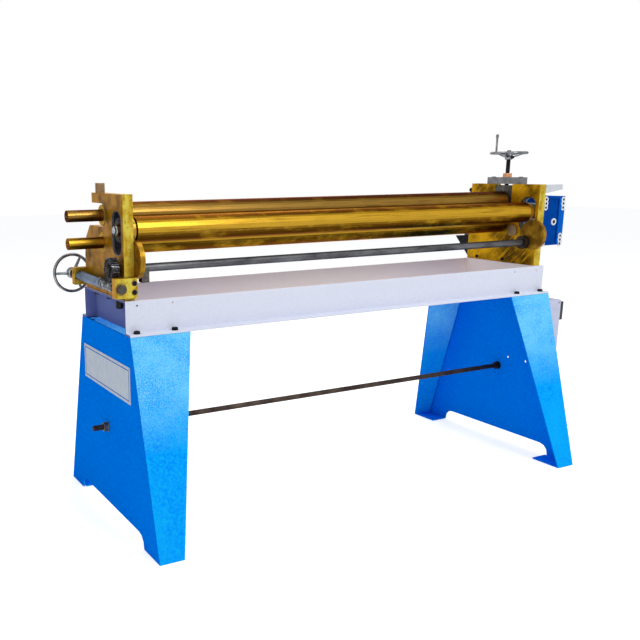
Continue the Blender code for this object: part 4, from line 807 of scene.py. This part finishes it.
def detail_gearbox():
    """White scalloped lugs with three dark holes each at the corners, and the ringed plug."""
    lugs, pits = [], []
    front, pitch = GEARBOX_FRONT, 12.6
    for x, z in ((772, 761), (849.5, 759), (848, 646), (772, 648)):
        lugs.append(outline_block(scallops(x, z, 8.8, pitch), "y", front - 2.2, front))
        for hole in (-1, 0, 1):
            rings = [(front - 2.25, 3.6), (front - 2.8, 3.6), (front - 2.8, 2.8), (front - 2.3, 2.4)]
            pits.append(turned(rings, "y", (x, z + hole * pitch), 20))
    make_piece("gearbox_lugs", "lug", "base", lugs, edge=0.4)
    make_piece("gearbox_lug_screws", "black", "base", pits, edge=0)
    centre = (817, 703)
    face = -47.0
    rings = [(face, 11), (face - 2.2, 11), (face - 2.8, 9.8), (face - 2.8, 6.2), (face - 2.0, 5.4),
             (face, 5.4)]
    ring = turned(rings, "y", centre, 40, closed=True)
    make_piece("gearbox_plug_ring", "lug", "base", [ring], edge=0)
    rings = [(face, 5.2), (face - 2.8, 5.2), (face - 3.2, 4.6), (face - 3.2, 3.0, 6), (face - 1.4, 3.0, 6)]
    plug = turned(rings, "y", centre, 24)
    make_piece("gearbox_plug", "black", "base", [plug], edge=0)
    # Lighter blue strip: painted highlight on the gearbox body's rounded right edge
    strip = outline_block(rounded((834, 858.2), (633, 779), 3), "y", front - 0.9, front)
    make_piece("gearbox_rim", "painted_highlight_blue", "base", [strip], edge=0.3)


def detail_control_box():
    screws, glands = [], []
    for x in (688.3, 789):
        for z in (298, 458):
            screws.append(socket_screw(-120.2, -1, 1.8, 3.4, 2, 2, "y", (x, z)))
    make_piece("control_screws", "bright", "base", screws)
    centre = (738, -67)
    rings = [(289.8, 11, 6), (284, 11, 6), (284, 9), (278, 8.6), (274, 7), (274, 4), (289.8, 4)]
    make_piece("cable_gland", "plastic", "base", [turned(rings, "z", centre, 24, closed=True)])
    collars = []
    for z in (443, 415):
        collars.append(turned([(815.4, 8.4), (815.4, 11.4), (816.9, 11.4), (817.4, 10.6), (817.4, 8.4)], "x",
                              (-90, z), 36, closed=True))
    make_piece("button_collars", "bright", "base", collars, edge=0)


def detail_motor():
    slots = []
    for ring in range(3):
        radius = 16 + 8 * ring
        for step in range(12 + 4 * ring):
            angle = 2 * math.pi * step / (12 + 4 * ring)
            centre = (MOTOR_AXIS[0] + radius * math.cos(angle), MOTOR_AXIS[1] + radius * math.sin(angle))
            slots.append(turned([(276.6, 2.2), (276.2, 2.4), (276.1, 2.4)], "y", centre, 12))
    make_piece("fan_cover_holes", "black", "base", slots, edge=0)
    lid = outline_block(rounded((783, 839), (128, 192), 4), "z", 735.2, 737.2)
    make_piece("terminal_lid", "gearbox", "base", [lid])


def seen_share(nodes, links):
    """One for what the camera sees straight, in a reflection or through glass, and zero for light."""
    path = nodes.new("ShaderNodeLightPath")
    total = path.outputs["Is Camera Ray"]
    for name in ("Is Glossy Ray", "Is Transmission Ray"):
        add = nodes.new("ShaderNodeMath")
        add.use_clamp = True
        links.new(total, add.inputs[0])
        links.new(path.outputs[name], add.inputs[1])
        total = add.outputs[0]
    return total


def set_floor():
    """White floor that is bright where it is seen and still darkens under the machine."""
    finish = bpy.data.materials.new("pale floor")
    finish.use_nodes = True
    nodes, links = finish.node_tree.nodes, finish.node_tree.links
    nodes.clear()
    out = nodes.new("ShaderNodeOutputMaterial")
    matte = nodes.new("ShaderNodeBsdfDiffuse")
    matte.inputs["Color"].default_value = (0.90, 0.90, 0.91, 1)
    lift = nodes.new("ShaderNodeEmission")
    strength = nodes.new("ShaderNodeMath")
    strength.operation = "MULTIPLY"
    strength.inputs[1].default_value = FLOOR_LIFT
    both = nodes.new("ShaderNodeAddShader")
    links.new(seen_share(nodes, links), strength.inputs[0])
    links.new(strength.outputs[0], lift.inputs["Strength"])
    links.new(matte.outputs[0], both.inputs[0])
    links.new(lift.outputs[0], both.inputs[1])
    links.new(both.outputs[0], out.inputs["Surface"])
    mesh = bpy.data.meshes.new("floor")
    corners = [(-FLOOR_HALF, -FLOOR_HALF, 0), (FLOOR_HALF, -FLOOR_HALF, 0),
               (FLOOR_HALF, FLOOR_HALF, 0), (-FLOOR_HALF, FLOOR_HALF, 0)]
    mesh.from_pydata(corners, [], [(0, 1, 2, 3)])
    mesh.materials.append(finish)
    floor = bpy.data.objects.new("floor", mesh)
    floor.location.z = -0.0005
    bpy.context.collection.objects.link(floor)


def set_stage():
    set_floor()
    world = bpy.data.worlds.new("studio")
    bpy.context.scene.world = world
    world.use_nodes = True
    nodes, links = world.node_tree.nodes, world.node_tree.links
    nodes.clear()
    out = nodes.new("ShaderNodeOutputWorld")
    seen = nodes.new("ShaderNodeBackground")
    seen.inputs["Color"].default_value = (1, 1, 1, 1)
    seen.inputs["Strength"].default_value = 1.0
    glow = nodes.new("ShaderNodeBackground")
    glow.inputs["Color"].default_value = (0.95, 0.97, 1, 1)
    glow.inputs["Strength"].default_value = WORLD_GLOW
    mix = nodes.new("ShaderNodeMixShader")
    links.new(seen_share(nodes, links), mix.inputs[0])
    links.new(glow.outputs[0], mix.inputs[1])
    links.new(seen.outputs[0], mix.inputs[2])
    links.new(mix.outputs[0], out.inputs["Surface"])
    for name, spot, size, power in LAMPS:
        lamp = bpy.data.lights.new(name, "AREA")
        lamp.energy = power
        lamp.size = size
        item = bpy.data.objects.new(name, lamp)
        item.location = spot
        way = Vector(LAMP_AIM) - Vector(spot)
        item.rotation_euler = way.to_track_quat("-Z", "Y").to_euler()
        bpy.context.collection.objects.link(item)


def set_camera():
    """Three quarter view from the left front, a little above the rolls."""
    turn, dip, roll = math.radians(26.44), math.radians(13.14), math.radians(-0.53)
    ahead = Vector((math.sin(turn) * math.cos(dip), math.cos(turn) * math.cos(dip), -math.sin(dip)))
    right = ahead.cross(Vector((0, 0, 1))).normalized()
    up = right.cross(ahead)
    across = right * math.cos(roll) + up * math.sin(roll)
    upward = -right * math.sin(roll) + up * math.cos(roll)
    view = bpy.data.cameras.new("view")
    view.lens = 45
    view.sensor_width = 36
    view.shift_x = 0.2005
    view.shift_y = 0.0553
    view.clip_end = 60
    camera = bpy.data.objects.new("view", view)
    matrix = Matrix((across, upward, -ahead)).transposed().to_4x4()
    matrix.translation = place(-1350, -1827, 876.9)
    camera.matrix_world = matrix
    bpy.context.collection.objects.link(camera)
    bpy.context.scene.camera = camera


dress_nodes()
fasten_stand()
fasten_cap()
trim_name_plate()
detail_worm_end()
detail_roll_slots()
make_handwheels()
detail_gearbox()
detail_control_box()
detail_motor()
set_stage()
set_camera()
